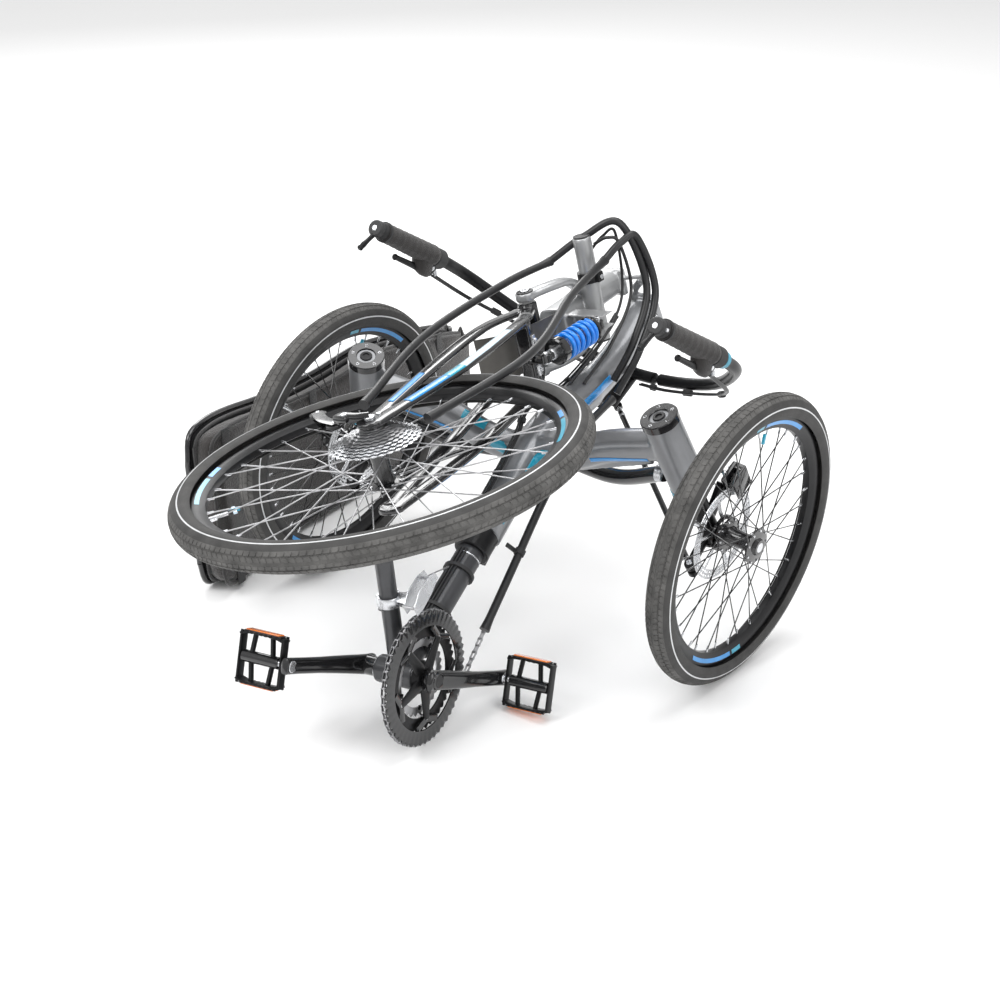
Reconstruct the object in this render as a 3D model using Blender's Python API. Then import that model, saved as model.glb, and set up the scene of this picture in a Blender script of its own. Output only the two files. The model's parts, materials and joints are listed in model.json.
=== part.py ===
"""Recumbent trike, full suspension, with its rear half folded over its front half.

Every piece is drawn where it sits on the riding trike: +X is the drive side, +Y runs
back, +Z up, and the origin is on the floor under the front axle.  The front section is
then pitched until the chainring rests on the floor, the rear section is turned about
the slanting fold hinge, and the steering is turned a little.  Units are metres.
"""

from math import cos, pi, radians, sin

import bmesh
import bpy
from mathutils import Matrix, Vector

# Place of the whole trike: the middle of its box stands over the origin.
CENTRE_X, CENTRE_Y = -0.0730, -0.0132

# Wheels
TRACK = 0.780
FRONT_TYRE_R, FRONT_TYRE_SECTION = 0.2470, 0.0225
REAR_TYRE_R, REAR_TYRE_SECTION = 0.3250, 0.0235
WHEELBASE = 1.285
TYRE_STEPS, SECTION_STEPS = 40, 8
SPOKES = 18

# Attitude: folded and standing on its front wheels and chainring.  The turned steering
# lowers one wheel, so the trike rolls a little until both touch the floor.
ROLL = -0.0113
DROP = 0.0010
NOSE_DOWN = radians(32.2)
FOLD_ANGLE = radians(155.65)
FOLD_AXIS = Vector((0.6112, 0.1339, 0.7800)).normalized()
FOLD_POINT = Vector((0.0, 0.4785, 0.2276))
STEER_ANGLE = radians(-11.0)

# Steering
KINGPIN = Vector((0.325, 0.0, 0.247))
KINGPIN_AXIS = Vector((-0.235, 0.184, 0.955)).normalized()
BAR_PIVOT = Vector((0.0, 0.345, 0.132))
BAR_AXIS = Vector((0.0, 0.184, 0.983)).normalized()
GRIP_LOW = Vector((0.303, 0.300, 0.352))
GRIP_HIGH = Vector((0.295, 0.205, 0.535))
STEERING_ARM = Vector((0.0, -0.065, 0.0))

# Front frame
BOTTOM_BRACKET = Vector((0.0, -0.4365, 0.3538))
BOOM_BACK = Vector((0.0, -0.1400, 0.3205))
BOOM_RADIUS = 0.0225
BOOM_ROLL = radians(-5.2)
POST_RADIUS = 0.0145
STRUT_RADIUS = 0.031
HINGE_PLATE = Vector((0.0255, 0.008, 0.0345))
HINGE_CENTRE = Vector((0.0, 0.4785, 0.163))
CABLE_RADIUS = 0.0026
PIN_RADIUS = 0.008

# Cranks
CRANK_LENGTH = 0.170
CRANK_ANGLE = radians(-56.5)
CHAINRING_R = 0.1080
CHAINLINE = 0.045
PEDAL_HALF = Vector((0.042, 0.042, 0.011))
PEDAL_OUT = 0.052
PEDAL_TILT = radians(68.0)

# Rear section
SWINGARM_PIVOT = Vector((0.0, 0.750, 0.190))
REAR_HUB = Vector((0.0, WHEELBASE, REAR_TYRE_R))
DROPOUT_X = 0.0700

# Seat, standing on its long edge beside the left front wheel
SEAT_LEAN = radians(3.0)
CUSHION_DEPTH = 0.052
SHELL_DEPTH = 0.012

GAP = 0.0004
X, Y, Z = Vector((1, 0, 0)), Vector((0, 1, 0)), Vector((0, 0, 1))

COLOURS = {
    "light_grey": ((0.42, 0.43, 0.45), 0.35, 0.6),
    "dark_grey": ((0.09, 0.09, 0.10), 0.4, 0.4),
    "black_metal": ((0.02, 0.02, 0.022), 0.35, 0.6),
    "black_plastic": ((0.03, 0.03, 0.032), 0.6, 0.0),
    "rubber": ((0.035, 0.035, 0.037), 0.8, 0.0),
    "steel": ((0.6, 0.6, 0.62), 0.25, 1.0),
    "blue": ((0.02, 0.25, 0.62), 0.3, 0.3),
    "fabric": ((0.045, 0.036, 0.034), 0.9, 0.0),
}


def clear_scene():
    for obj in list(bpy.data.objects):
        bpy.data.objects.remove(obj, do_unlink=True)


def material(name):
    """The named Principled material, made once."""
    if name in bpy.data.materials:
        return bpy.data.materials[name]
    colour, roughness, metallic = COLOURS[name]
    made = bpy.data.materials.new(name)
    made.use_nodes = True
    shader = made.node_tree.nodes["Principled BSDF"]
    shader.inputs["Base Color"].default_value = (*colour, 1.0)
    shader.inputs["Roughness"].default_value = roughness
    shader.inputs["Metallic"].default_value = metallic
    return made


def about(point, axis, angle):
    """The matrix that turns things by an angle about an axis through a point."""
    return Matrix.Translation(point) @ Matrix.Rotation(angle, 4, axis) @ Matrix.Translation(-point)


def empty(name, parent=None, matrix=None):
    made = bpy.data.objects.new(name, None)
    bpy.context.scene.collection.objects.link(made)
    made.parent = parent
    if matrix is not None:
        made.matrix_local = matrix
    return made


def mirrored(point):
    return Vector((-point.x, point.y, point.z))


def node(name, bm, finish, parent):
    """Turns a bmesh into a named object under its parent."""
    bmesh.ops.recalc_face_normals(bm, faces=bm.faces)
    bmesh.ops.connect_verts_nonplanar(bm, angle_limit=radians(0.05), faces=bm.faces)
    mesh = bpy.data.meshes.new(name)
    bm.to_mesh(mesh)
    bm.free()
    mesh.materials.append(material(finish))
    mesh.shade_smooth()
    mesh.set_sharp_from_angle(angle=radians(35))
    made = bpy.data.objects.new(name, mesh)
    bpy.context.scene.collection.objects.link(made)
    made.parent = parent
    return made


def smooth_path(points, steps):
    """Points of a Catmull-Rom curve through the given ones."""
    points = [Vector(p) for p in points]
    ends = [points[0] * 2 - points[1], *points, points[-1] * 2 - points[-2]]
    path = []
    for a, b, c, d in zip(ends, ends[1:], ends[2:], ends[3:]):
        for step in range(steps):
            t = step / steps
            path.append(0.5 * (2 * b + (c - a) * t + (2 * a - 5 * b + 4 * c - d) * t**2
                               + (3 * b - a - 3 * c + d) * t**3))
    return [*path, points[-1]]


def section(half_width, half_height, sides, square):
    """Outline of a tube section: round at square 0, nearly a rectangle at 1."""
    outline = []
    power = 1.0 - 0.72 * square
    for k in range(sides):
        angle = 2 * pi * (k + 0.5) / sides
        c, s = cos(angle), sin(angle)
        outline.append((half_width * abs(c) ** power * (1 if c > 0 else -1),
                        half_height * abs(s) ** power * (1 if s > 0 else -1)))
    return outline


def tube_mesh(path, sizes, sides=12, square=0.0, up=Z):
    """A closed tube along a path; sizes are (half width, half height) pairs."""
    path = [Vector(p) for p in path]
    if not isinstance(sizes, list):
        sizes = [sizes] * len(path)
    bm = bmesh.new()
    rings = []
    for index, (point, size) in enumerate(zip(path, sizes)):
        before, after = path[max(index - 1, 0)], path[min(index + 1, len(path) - 1)]
        along = (after - before).normalized()
        side = along.cross(up).normalized()
        top = side.cross(along).normalized()
        outline = section(*size, sides, square)
        rings.append([bm.verts.new(point + side * u + top * v) for u, v in outline])
    for first, second in zip(rings, rings[1:]):
        for k in range(sides):
            n = (k + 1) % sides
            bm.faces.new((first[k], first[n], second[n], second[k]))
    bm.faces.new(rings[0])
    bm.faces.new(rings[-1])
    return bm


def rod_mesh(start, end, radius, sides=12, end_radius=None):
    start, end = Vector(start), Vector(end)
    up = X if abs((end - start).normalized().dot(Z)) > 0.9 else Z
    last = radius if end_radius is None else end_radius
    return tube_mesh([start, end], [(radius, radius), (last, last)], sides, 0.0, up)


def turned_mesh(profile, steps, centre=(0, 0, 0)):
    """A closed ring about an X axis through the centre; the profile is (x, radius)."""
    bm = bmesh.new()
    centre = Vector(centre)
    rings = []
    for step in range(steps):
        angle = 2 * pi * step / steps
        spoke = Y * cos(angle) + Z * sin(angle)
        rings.append([bm.verts.new(centre + X * x + spoke * r) for x, r in profile])
    count = len(profile)
    for first, second in zip(rings, rings[1:] + rings[:1]):
        for k in range(count):
            n = (k + 1) % count
            bm.faces.new((first[k], first[n], second[n], second[k]))
    return bm


def disc_mesh(x0, x1, radius, steps, centre=(0, 0, 0)):
    centre = Vector(centre)
    return rod_mesh(centre + X * x0, centre + X * x1, radius, steps)


def box_mesh(centre, half, matrix=None):
    bm = bmesh.new()
    size = Matrix.Diagonal((*[2 * h for h in half], 1.0))
    turn = matrix if matrix is not None else Matrix.Identity(4)
    bmesh.ops.create_cube(bm, size=1.0, matrix=Matrix.Translation(Vector(centre)) @ turn @ size)
    return bm


def helper(name, bm):
    """A hidden cutter or joined piece for a Boolean."""
    made = node(name, bm, "black_metal", None)
    made.hide_render = True
    made.display_type = "WIRE"
    return made


def combine(target, pieces, operation):
    """Adds Boolean modifiers; each helper shares the target's parent."""
    for index, bm in enumerate(pieces):
        other = helper(f"{target.name}_{operation.lower()}_{index}", bm)
        other.parent = target.parent
        modifier = target.modifiers.new(other.name, "BOOLEAN")
        modifier.operation = operation
        modifier.object = other
    return target


# ---------------------------------------------------------------- front frame

MAIN_TUBE = [(0, -0.150, 0.319), (0, -0.060, 0.312), (0, 0.028, 0.306), (0, 0.113, 0.280),
             (0, 0.228, 0.222), (0, 0.340, 0.180), (0, 0.460, 0.163)]


def boom_line(y):
    """The point of the boom's centre line at this Y."""
    share = (y - BOOM_BACK.y) / (BOTTOM_BRACKET.y - BOOM_BACK.y)
    return BOOM_BACK.lerp(BOTTOM_BRACKET, share)


def hinge_half(side, pin_from, pin_to):
    """Plate, barrel and ear of the front (-1) or rear (1) half of the fold hinge."""
    plate_at = HINGE_CENTRE + Y * side * (HINGE_PLATE.y + 0.0015)
    plate = box_mesh(plate_at, HINGE_PLATE)
    start, end = FOLD_POINT + FOLD_AXIS * pin_from, FOLD_POINT + FOLD_AXIS * pin_to
    barrel = rod_mesh(start, end, PIN_RADIUS, 12)
    root = plate_at + Vector((-0.006 + 0.014 * side, side * 0.002, HINGE_PLATE.z - 0.010))
    middle = (start + end) / 2 + Y * side * 0.004
    ear = tube_mesh([root, middle], (0.005, 0.005), 8, 0.4, Y)
    return [plate, barrel, ear]


def build_main_frame(front):
    path = smooth_path(MAIN_TUBE, 3)
    sizes = [(0.028, 0.033)] * (len(path) - 6) + [(0.026, 0.030)] * 6
    frame = node("main_frame", tube_mesh(path, sizes, 12, 0.55), "light_grey", front)
    top = KINGPIN + KINGPIN_AXIS * 0.236
    low = KINGPIN + KINGPIN_AXIS * 0.080
    beam_end = KINGPIN + KINGPIN_AXIS * 0.175 - X * 0.012
    beam = smooth_path([mirrored(beam_end), (-0.16, 0.040, 0.362), (-0.06, 0.032, 0.315),
                        (0.06, 0.032, 0.315), (0.16, 0.040, 0.362), beam_end], 3)
    struts = [rod_mesh(low, top, STRUT_RADIUS, 16),
              rod_mesh(mirrored(low), mirrored(top), STRUT_RADIUS, 16)]
    post = rod_mesh(BAR_PIVOT + BAR_AXIS * 0.016, BAR_PIVOT + BAR_AXIS * 0.040, 0.018, 12)
    hinge = hinge_half(-1, -0.026, -0.002)
    combine(frame, [tube_mesh(beam, (0.024, 0.026), 12, 0.5), *struts, *hinge, post], "UNION")
    boom_bore = rod_mesh(boom_line(-0.30), boom_line(-0.135), BOOM_RADIUS + GAP, 16)
    return combine(frame, [boom_bore], "DIFFERENCE")


def build_lower_tube(front):
    """The black cross tube under the crossbeam, from strut foot to strut foot."""
    foot = KINGPIN + KINGPIN_AXIS * 0.105 - X * (STRUT_RADIUS + 0.009)
    path = smooth_path([mirrored(foot), (-0.14, 0.045, 0.262), (0, 0.075, 0.234),
                        (0.14, 0.045, 0.262), foot], 3)
    node("lower_cross_tube", tube_mesh(path, (0.0135, 0.0135), 10), "black_metal", front)


def build_boom(front):
    along = (BOOM_BACK - BOTTOM_BRACKET).normalized()
    roll = empty("boom_roll", front, about(BOTTOM_BRACKET, along, BOOM_ROLL))
    boom = node("boom", rod_mesh(BOOM_BACK, BOTTOM_BRACKET, BOOM_RADIUS, 16),
                "dark_grey", roll)
    shell = disc_mesh(-0.036, 0.036, 0.0225, 16, BOTTOM_BRACKET)
    post = rod_mesh(BOTTOM_BRACKET, BOTTOM_BRACKET + Vector((0, 0.118, 0.204)), POST_RADIUS, 12)
    combine(boom, [shell, post], "UNION")
    clamp = node("boom_clamp", rod_mesh(boom_line(-0.192), boom_line(-0.1515), 0.0300, 16),
                 "black_metal", front)
    bolt = box_mesh((0, -0.172, 0.294), (0.012, 0.016, 0.012))
    combine(clamp, [bolt], "UNION")
    combine(clamp, [rod_mesh(boom_line(-0.25), boom_line(-0.10), BOOM_RADIUS + GAP, 16)],
            "DIFFERENCE")
    build_front_derailleur(roll)
    return roll


def build_front_derailleur(roll):
    along = Vector((0, 0.118, 0.204)).normalized()
    middle = BOTTOM_BRACKET + along * 0.128
    band = node("front_derailleur", rod_mesh(middle - along * 0.009, middle + along * 0.009,
                                             0.0195, 12), "steel", roll)
    arm = box_mesh(middle + Vector((0.030, 0.004, 0.000)), (0.016, 0.011, 0.009))
    cage = box_mesh(middle + Vector((0.047, 0.022, 0.003)), (0.0115, 0.036, 0.016))
    combine(band, [arm, cage], "UNION")
    combine(band, [rod_mesh(middle - along * 0.05, middle + along * 0.05, POST_RADIUS + GAP, 12),
                   box_mesh(middle + Vector((0.047, 0.030, 0.001)), (0.0095, 0.046, 0.013))],
            "DIFFERENCE")


def build_cable_run(front):
    """The gear cables, clipped to the main tube from the hinge to the boom clamp."""
    route = smooth_path([(-0.0335, 0.420, 0.190), (-0.0335, 0.340, 0.202), (-0.0340, 0.228, 0.240),
                         (-0.0340, 0.150, 0.285), (-0.0200, 0.085, 0.3450), (-0.0120, 0.030, 0.3490),
                         (-0.0100, -0.050, 0.3520), (-0.0100, -0.140, 0.3575)], 3)
    node("cable_run", tube_mesh(route, (CABLE_RADIUS * 1.6, CABLE_RADIUS), 8), "black_plastic", front)


def build_hinge_lever(front):
    lever = [(0.033, 0.440, 0.168), (0.046, 0.420, 0.180), (0.052, 0.370, 0.205)]
    node("hinge_lever", tube_mesh(smooth_path(lever, 3), (0.006, 0.010), 8, 0.4),
         "black_metal", front)


# ---------------------------------------------------------------- wheels

def tyre_profile(radius, section_radius):
    """Tyre outline: a round carcass, open towards the rim."""
    outline = []
    for k in range(SECTION_STEPS):
        angle = pi * (-0.18 + 1.36 * k / (SECTION_STEPS - 1))
        outline.append((section_radius * cos(angle),
                        radius - section_radius + section_radius * sin(angle)))
    return outline


def rim_profile(outer, width):
    return [(-width, outer), (-width * 0.62, outer - 0.018), (width * 0.62, outer - 0.018),
            (width, outer)]


def spoked_hub_mesh(centre, reach, flange_x, flange_r, shell_r, half_length):
    """A hub whose two flanges carry thin spokes, grown out of the flange edges."""
    bm = bmesh.new()
    centre = Vector(centre)
    profile = [(-half_length, 0.012), (-flange_x - 0.002, shell_r), (-flange_x - 0.002, flange_r),
               (-flange_x + 0.002, flange_r), (-flange_x + 0.004, shell_r),
               (flange_x - 0.004, shell_r), (flange_x - 0.002, flange_r),
               (flange_x + 0.002, flange_r), (flange_x + 0.002, shell_r), (half_length, 0.012)]
    rings = []
    for step in range(SPOKES):
        angle = 2 * pi * step / SPOKES
        spoke = Y * cos(angle) + Z * sin(angle)
        rings.append([bm.verts.new(centre + X * x + spoke * r) for x, r in profile])
    flange_faces = []
    for index, first in enumerate(rings):
        second = rings[(index + 1) % SPOKES]
        for k in range(len(profile) - 1):
            face = bm.faces.new((first[k], first[k + 1], second[k + 1], second[k]))
            if k in (2, 6) and (index + (k == 6)) % 2 == 0:
                flange_faces.append(face)
    for k in (0, len(profile) - 1):
        bm.faces.new([ring[k] for ring in rings])
    bmesh.ops.recalc_face_normals(bm, faces=bm.faces)
    for face in flange_faces:
        grow_spoke(bm, face, centre, reach)
    return bm


def grow_spoke(bm, face, centre, reach):
    """Insets one flange face and pulls it out to the rim as a spoke."""
    bmesh.ops.inset_individual(bm, faces=[face], thickness=0.0010)
    middle = face.calc_center_median()
    outward = middle - centre
    outward.x = 0.0
    tip = centre + outward.normalized() * reach + X * (middle - centre).x * 0.15
    for vert in face.verts:
        vert.co = middle + (vert.co - middle) * 0.35
    made = bmesh.ops.extrude_discrete_faces(bm, faces=[face])["faces"][0]
    for vert in made.verts:
        vert.co += tip - middle


def build_wheel(side, centre, radius, section_radius, hub, parent):
    """Tyre, rim and spoked hub of one wheel; hub gives its flange sizes."""
    node(f"tyre_{side}", turned_mesh(tyre_profile(radius, section_radius), TYRE_STEPS, centre),
         "rubber", parent)
    rim_outer = radius - section_radius * 1.62
    node(f"rim_{side}", turned_mesh(rim_profile(rim_outer, 0.0105), TYRE_STEPS, centre),
         "black_metal", parent)
    node(f"hub_{side}", spoked_hub_mesh(centre, rim_outer - 0.0195, *hub), "black_metal", parent)


def build_front_corner(name, mirror, front):
    """Knuckle, brake and wheel of one front corner."""
    sign = -1 if mirror else 1
    place = mirrored if mirror else (lambda point: point)
    pivot, axis = place(KINGPIN), place(KINGPIN_AXIS)
    steer = empty(f"steer_{name}", front, about(pivot, axis, STEER_ANGLE))
    centre = place(Vector((TRACK / 2, 0.0, KINGPIN.z)))
    build_wheel(name, centre, FRONT_TYRE_R, FRONT_TYRE_SECTION,
                (0.026, 0.030, 0.016, 0.034), steer)
    inner = centre - X * sign * 0.0375
    disc = [(-0.0010, 0.024), (-0.0010, 0.080), (0.0010, 0.080), (0.0010, 0.024)]
    node(f"brake_disc_{name}", turned_mesh(disc, 32, inner), "steel", steer)
    build_knuckle(name, place, steer)


def build_knuckle(name, place, steer):
    low = place(KINGPIN - KINGPIN_AXIS * 0.030)
    high = place(KINGPIN + KINGPIN_AXIS * 0.076)
    knuckle = node(f"knuckle_{name}", rod_mesh(low, high, 0.017, 14), "black_metal", steer)
    hub_face = place(Vector((TRACK / 2 - 0.0345, 0.0, KINGPIN.z)))
    axle = rod_mesh(place(KINGPIN), hub_face, 0.009, 12)
    arm_end = place(KINGPIN + STEERING_ARM - Z * 0.022)
    arm = tube_mesh([place(KINGPIN - Z * 0.015), arm_end], (0.009, 0.006), 8, 0.5)
    mount = tube_mesh([place(KINGPIN + Z * 0.01), place(Vector((0.326, 0.062, 0.290)))],
                      (0.007, 0.012), 8, 0.5)
    combine(knuckle, [axle, arm, mount], "UNION")
    middle = place(Vector((0.3505, 0.070, 0.300)))
    caliper = node(f"brake_caliper_{name}", box_mesh(middle, (0.0125, 0.021, 0.024)),
                   "black_plastic", steer)
    slot = box_mesh(place(Vector((0.3525, 0.058, 0.290))), (0.0040, 0.030, 0.030))
    combine(caliper, [slot], "DIFFERENCE")


# ---------------------------------------------------------------- steering

def build_handlebar(front):
    turned = empty("bar_turn", front, about(BAR_PIVOT, BAR_AXIS, STEER_ANGLE))
    half = [(0, 0.345, 0.132), (0.110, 0.346, 0.148), (0.215, 0.345, 0.195),
            (0.292, 0.325, 0.290), GRIP_LOW, GRIP_LOW.lerp(GRIP_HIGH, 0.092)]
    full = [mirrored(Vector(p)) for p in reversed(half[1:])] + [Vector(p) for p in half]
    path = smooth_path(full, 3)
    bar = node("handlebar", tube_mesh(path, (0.011, 0.011), 10, 0, X + Y * 0.01 + Z * 0.2),
               "black_metal", turned)
    hub = rod_mesh(BAR_PIVOT - BAR_AXIS * 0.014, BAR_PIVOT + BAR_AXIS * 0.0148, 0.024, 14)
    arm = box_mesh(BAR_PIVOT + STEERING_ARM * 0.5 - Z * 0.006, (0.030, 0.044, 0.005))
    combine(bar, [hub, arm], "UNION")
    for name, place in (("right", lambda p: p), ("left", mirrored)):
        build_grip(name, place, turned)
        build_brake_line(name, place, turned)
    return turned


def build_brake_line(name, place, turned):
    """The lever's cable, which the bar carries as far as its middle."""
    low, high = place(GRIP_LOW), place(GRIP_HIGH)
    clamp = low + (high - low).normalized() * 0.0344
    route = [clamp + Vector((0, -0.022, -0.024)), place(Vector((0.286, 0.300, 0.262))),
             place(Vector((0.214, 0.327, 0.186))), place(Vector((0.112, 0.329, 0.144))),
             place(Vector((0.050, 0.328, 0.134)))]
    node(f"brake_line_{name}", tube_mesh(smooth_path(route, 3), (CABLE_RADIUS, CABLE_RADIUS), 6),
         "black_plastic", turned)


def build_grip(name, place, turned):
    low, high = place(GRIP_LOW), place(GRIP_HIGH)
    along = (high - low).normalized()
    bar_end = high + along * 0.002
    node(f"grip_{name}", rod_mesh(low + along * 0.0468, bar_end, 0.0170, 12), "rubber", turned)
    shifter = node(f"shifter_{name}", rod_mesh(bar_end + along * GAP, bar_end + along * 0.026,
                                               0.0150, 12), "black_plastic", turned)
    tip = bar_end + along * 0.014 + Vector((0, -0.050, 0.006))
    combine(shifter, [rod_mesh(bar_end + along * 0.014, tip, 0.0045, 8)], "UNION")
    clamp = low + along * 0.0344
    lever = node(f"brake_lever_{name}", rod_mesh(clamp - along * 0.012, clamp + along * 0.012,
                                                 0.0185, 12), "black_plastic", turned)
    reach = [clamp - along * 0.003, clamp + Vector((0, -0.034, 0.000)), clamp + Vector((0, -0.052, 0.035)),
             clamp + Vector((0, -0.078, 0.085))]
    combine(lever, [tube_mesh(smooth_path(reach, 2), (0.006, 0.005), 8, 0.3, X)], "UNION")


def build_tie_rods(front):
    swing = Matrix.Rotation(STEER_ANGLE, 3, BAR_AXIS) @ STEERING_ARM
    for name, place in (("right", lambda p: p), ("left", mirrored)):
        inner = BAR_PIVOT + swing + place(Vector((0.020, 0, 0))) - Z * 0.026
        kingpin, axis = place(KINGPIN), place(KINGPIN_AXIS)
        arm = Matrix.Rotation(STEER_ANGLE, 3, axis) @ (STEERING_ARM - Z * 0.022)
        outer = kingpin + arm - Z * 0.020
        node(f"tie_rod_{name}", rod_mesh(inner, outer, 0.0060, 8), "black_metal", front)


# ---------------------------------------------------------------- cranks

def build_cranks(roll):
    turn = empty("crank_turn", roll, about(BOTTOM_BRACKET, X, CRANK_ANGLE))
    centre = BOTTOM_BRACKET
    rings = node("chainrings", turned_mesh([(-0.010, 0.050), (-0.010, CHAINRING_R - 0.018),
                                            (-0.002, CHAINRING_R - 0.008), (0.002, CHAINRING_R),
                                            (0.006, CHAINRING_R), (0.006, 0.050)], 36,
                                           centre + X * CHAINLINE), "black_metal", turn)
    spider = box_mesh(centre + X * CHAINLINE, (0.0045, 0.011, 0.062))
    middle = disc_mesh(-0.006, 0.006, 0.030, 16, centre + X * CHAINLINE)
    combine(rings, [spider, middle], "UNION")
    for name, sign in (("right", 1), ("left", -1)):
        build_crank_arm(name, sign, centre, turn)


def build_crank_arm(name, sign, centre, turn):
    """Arms lie along +Y or -Y of the crank's own frame, which CRANK_ANGLE turns."""
    root = centre + X * sign * 0.064
    end = centre + Y * sign * CRANK_LENGTH + X * sign * 0.084
    path = [root - Y * sign * 0.020, root, root + Y * sign * 0.06 + X * sign * 0.010, end,
            end + Y * sign * 0.014]
    sizes = [(0.017, 0.011), (0.019, 0.011), (0.014, 0.0075), (0.014, 0.007), (0.008, 0.006)]
    arm = node(f"crank_arm_{name}", tube_mesh(path, sizes, 8, 0.4, X), "black_metal", turn)
    boss = disc_mesh(sign * (0.0515 if sign > 0 else 0.0375), sign * 0.064, 0.016, 12, centre)
    combine(arm, [boss], "UNION")
    pedal_at = end + X * sign * PEDAL_OUT
    pedal_turn = empty(f"pedal_turn_{name}", turn,
                       about(pedal_at, X, -CRANK_ANGLE - NOSE_DOWN + PEDAL_TILT))
    pedal = node(f"pedal_{name}", box_mesh(pedal_at, PEDAL_HALF), "black_metal", pedal_turn)
    combine(pedal, [box_mesh(pedal_at + X * s * 0.022, (0.012, 0.030, 0.02)) for s in (-1, 1)],
            "DIFFERENCE")


# ---------------------------------------------------------------- rear section

def build_rear_frame(rear):
    spine = smooth_path([(0, 0.492, 0.163), (0, 0.560, 0.172), (0, 0.640, 0.188),
                         (0, 0.700, 0.194)], 3)
    frame = node("rear_frame", tube_mesh(spine, (0.025, 0.029), 12, 0.55), "light_grey", rear)
    cross = tube_mesh([(-0.062, 0.615, 0.224), (0.130, 0.615, 0.224)], (0.017, 0.017), 12)
    stays = []
    for sign in (-1, 1):
        stay = smooth_path([(sign * 0.020, 0.605, 0.206), (sign * 0.060, 0.655, 0.208),
                            (sign * 0.068, 0.700, 0.204), (sign * 0.068, 0.752, 0.190)], 3)
        stays.append(tube_mesh(stay, (0.008, 0.016), 8, 0.4))
    bracket = box_mesh((0, 0.672, 0.256), (0.013, 0.018, 0.042))
    combine(frame, [*hinge_half(1, 0.005, 0.028), cross, *stays, bracket], "UNION")
    combine(frame, [box_mesh((0, 0.700, 0.290), (0.0085, 0.020, 0.016))], "DIFFERENCE")
    return frame


def build_swingarm(rear):
    """Two blades a side, joined at the pivot tube and by a bridge ahead of the tyre."""
    arm = node("swingarm", disc_mesh(-0.0570, 0.0570, 0.0170, 14, SWINGARM_PIVOT),
               "black_metal", rear)
    pieces = []
    for sign in (-1, 1):
        upper = smooth_path([(sign * 0.045, 0.762, 0.200), (sign * 0.060, 0.860, 0.262),
                             (sign * 0.066, 1.060, 0.312), (sign * DROPOUT_X, 1.290, 0.337)], 2)
        inset = DROPOUT_X - 0.0013
        lower = smooth_path([(sign * 0.0437, 0.762, 0.182), (sign * 0.0567, 0.880, 0.196),
                             (sign * 0.0647, 1.060, 0.250), (sign * inset, 1.284, 0.322)], 2)
        pieces += [tube_mesh(upper, (0.0055, 0.013), 8, 0.5), tube_mesh(lower, (0.0055, 0.013), 8, 0.5)]
    yoke = box_mesh((0, 0.847, 0.2575), (0.0605, 0.012, 0.0135), Matrix.Rotation(radians(21), 4, X))
    lug = box_mesh((0, 0.852, 0.278), (0.0075, 0.010, 0.014))
    combine(arm, [*pieces, yoke, lug], "UNION")
    return arm


def build_shock(rear):
    front_eye, rear_eye = Vector((0, 0.696, 0.2925)), Vector((0, 0.852, 0.3010))
    along = (rear_eye - front_eye).normalized()
    start, end = front_eye + along * 0.010, rear_eye - along * 0.013
    shock = node("shock", rod_mesh(start, end, 0.010, 10), "black_metal", rear)
    cups = [rod_mesh(start + along * 0.012, start + along * 0.020, 0.024, 14),
            rod_mesh(end - along * 0.030, end - along * 0.012, 0.024, 14)]
    combine(shock, cups, "UNION")
    low, high = start + along * (0.020 + GAP), end - along * (0.030 + GAP)
    side = along.cross(X).normalized()
    turns, steps, wire = 6, 12, 0.0040
    inner = (high - low).length - 2 * wire
    path = []
    for k in range(turns * steps + 1):
        angle = 2 * pi * k / steps
        radial = X * cos(angle) + side * sin(angle)
        path.append(low + along * (wire + inner * k / (turns * steps)) + radial * 0.0200)
    node("shock_spring", tube_mesh(path, (wire, wire), 6, 0, along), "blue", rear)


def build_rear_wheel(rear):
    build_wheel("rear", REAR_HUB, REAR_TYRE_R, REAR_TYRE_SECTION,
                (0.028, 0.029, 0.018, 0.040), rear)
    steps = [0.052 - 0.0052 * k for k in range(7)]
    profile = [(0.0405, 0.014)]
    for k, radius in enumerate(steps):
        profile += [(0.0405 + 0.0030 * k, radius), (0.0425 + 0.0030 * k, radius)]
    profile.append((profile[-1][0], 0.014))
    node("cassette", turned_mesh(profile, 32, REAR_HUB), "steel", rear)


def build_axle(rear):
    node("rear_axle", rod_mesh(REAR_HUB - X * 0.0790, REAR_HUB - X * 0.0762, 0.0090, 12),
         "steel", rear)


def build_rear_derailleur(rear):
    hanger = node("rear_derailleur", box_mesh((0.0820, 1.302, 0.288), (0.0060, 0.014, 0.020)),
                  "black_metal", rear)
    cage = tube_mesh([(0.0660, 1.300, 0.262), (0.0660, 1.272, 0.196)], (0.0045, 0.013), 8, 0.5)
    link = box_mesh((0.0760, 1.300, 0.272), (0.0120, 0.014, 0.012))
    combine(hanger, [link, cage], "UNION")


def build_guard(rear):
    """The curved mud flap between the frame stays and the tyre."""
    path = smooth_path([(0, 0.752, 0.246), (0, 0.800, 0.238), (0, 0.856, 0.214),
                        (0, 0.886, 0.178)], 3)
    node("mud_flap", tube_mesh(path, (0.040, 0.0020), 8, 0.9, Z), "dark_grey", rear)


# ---------------------------------------------------------------- chain tubes and cables

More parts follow.
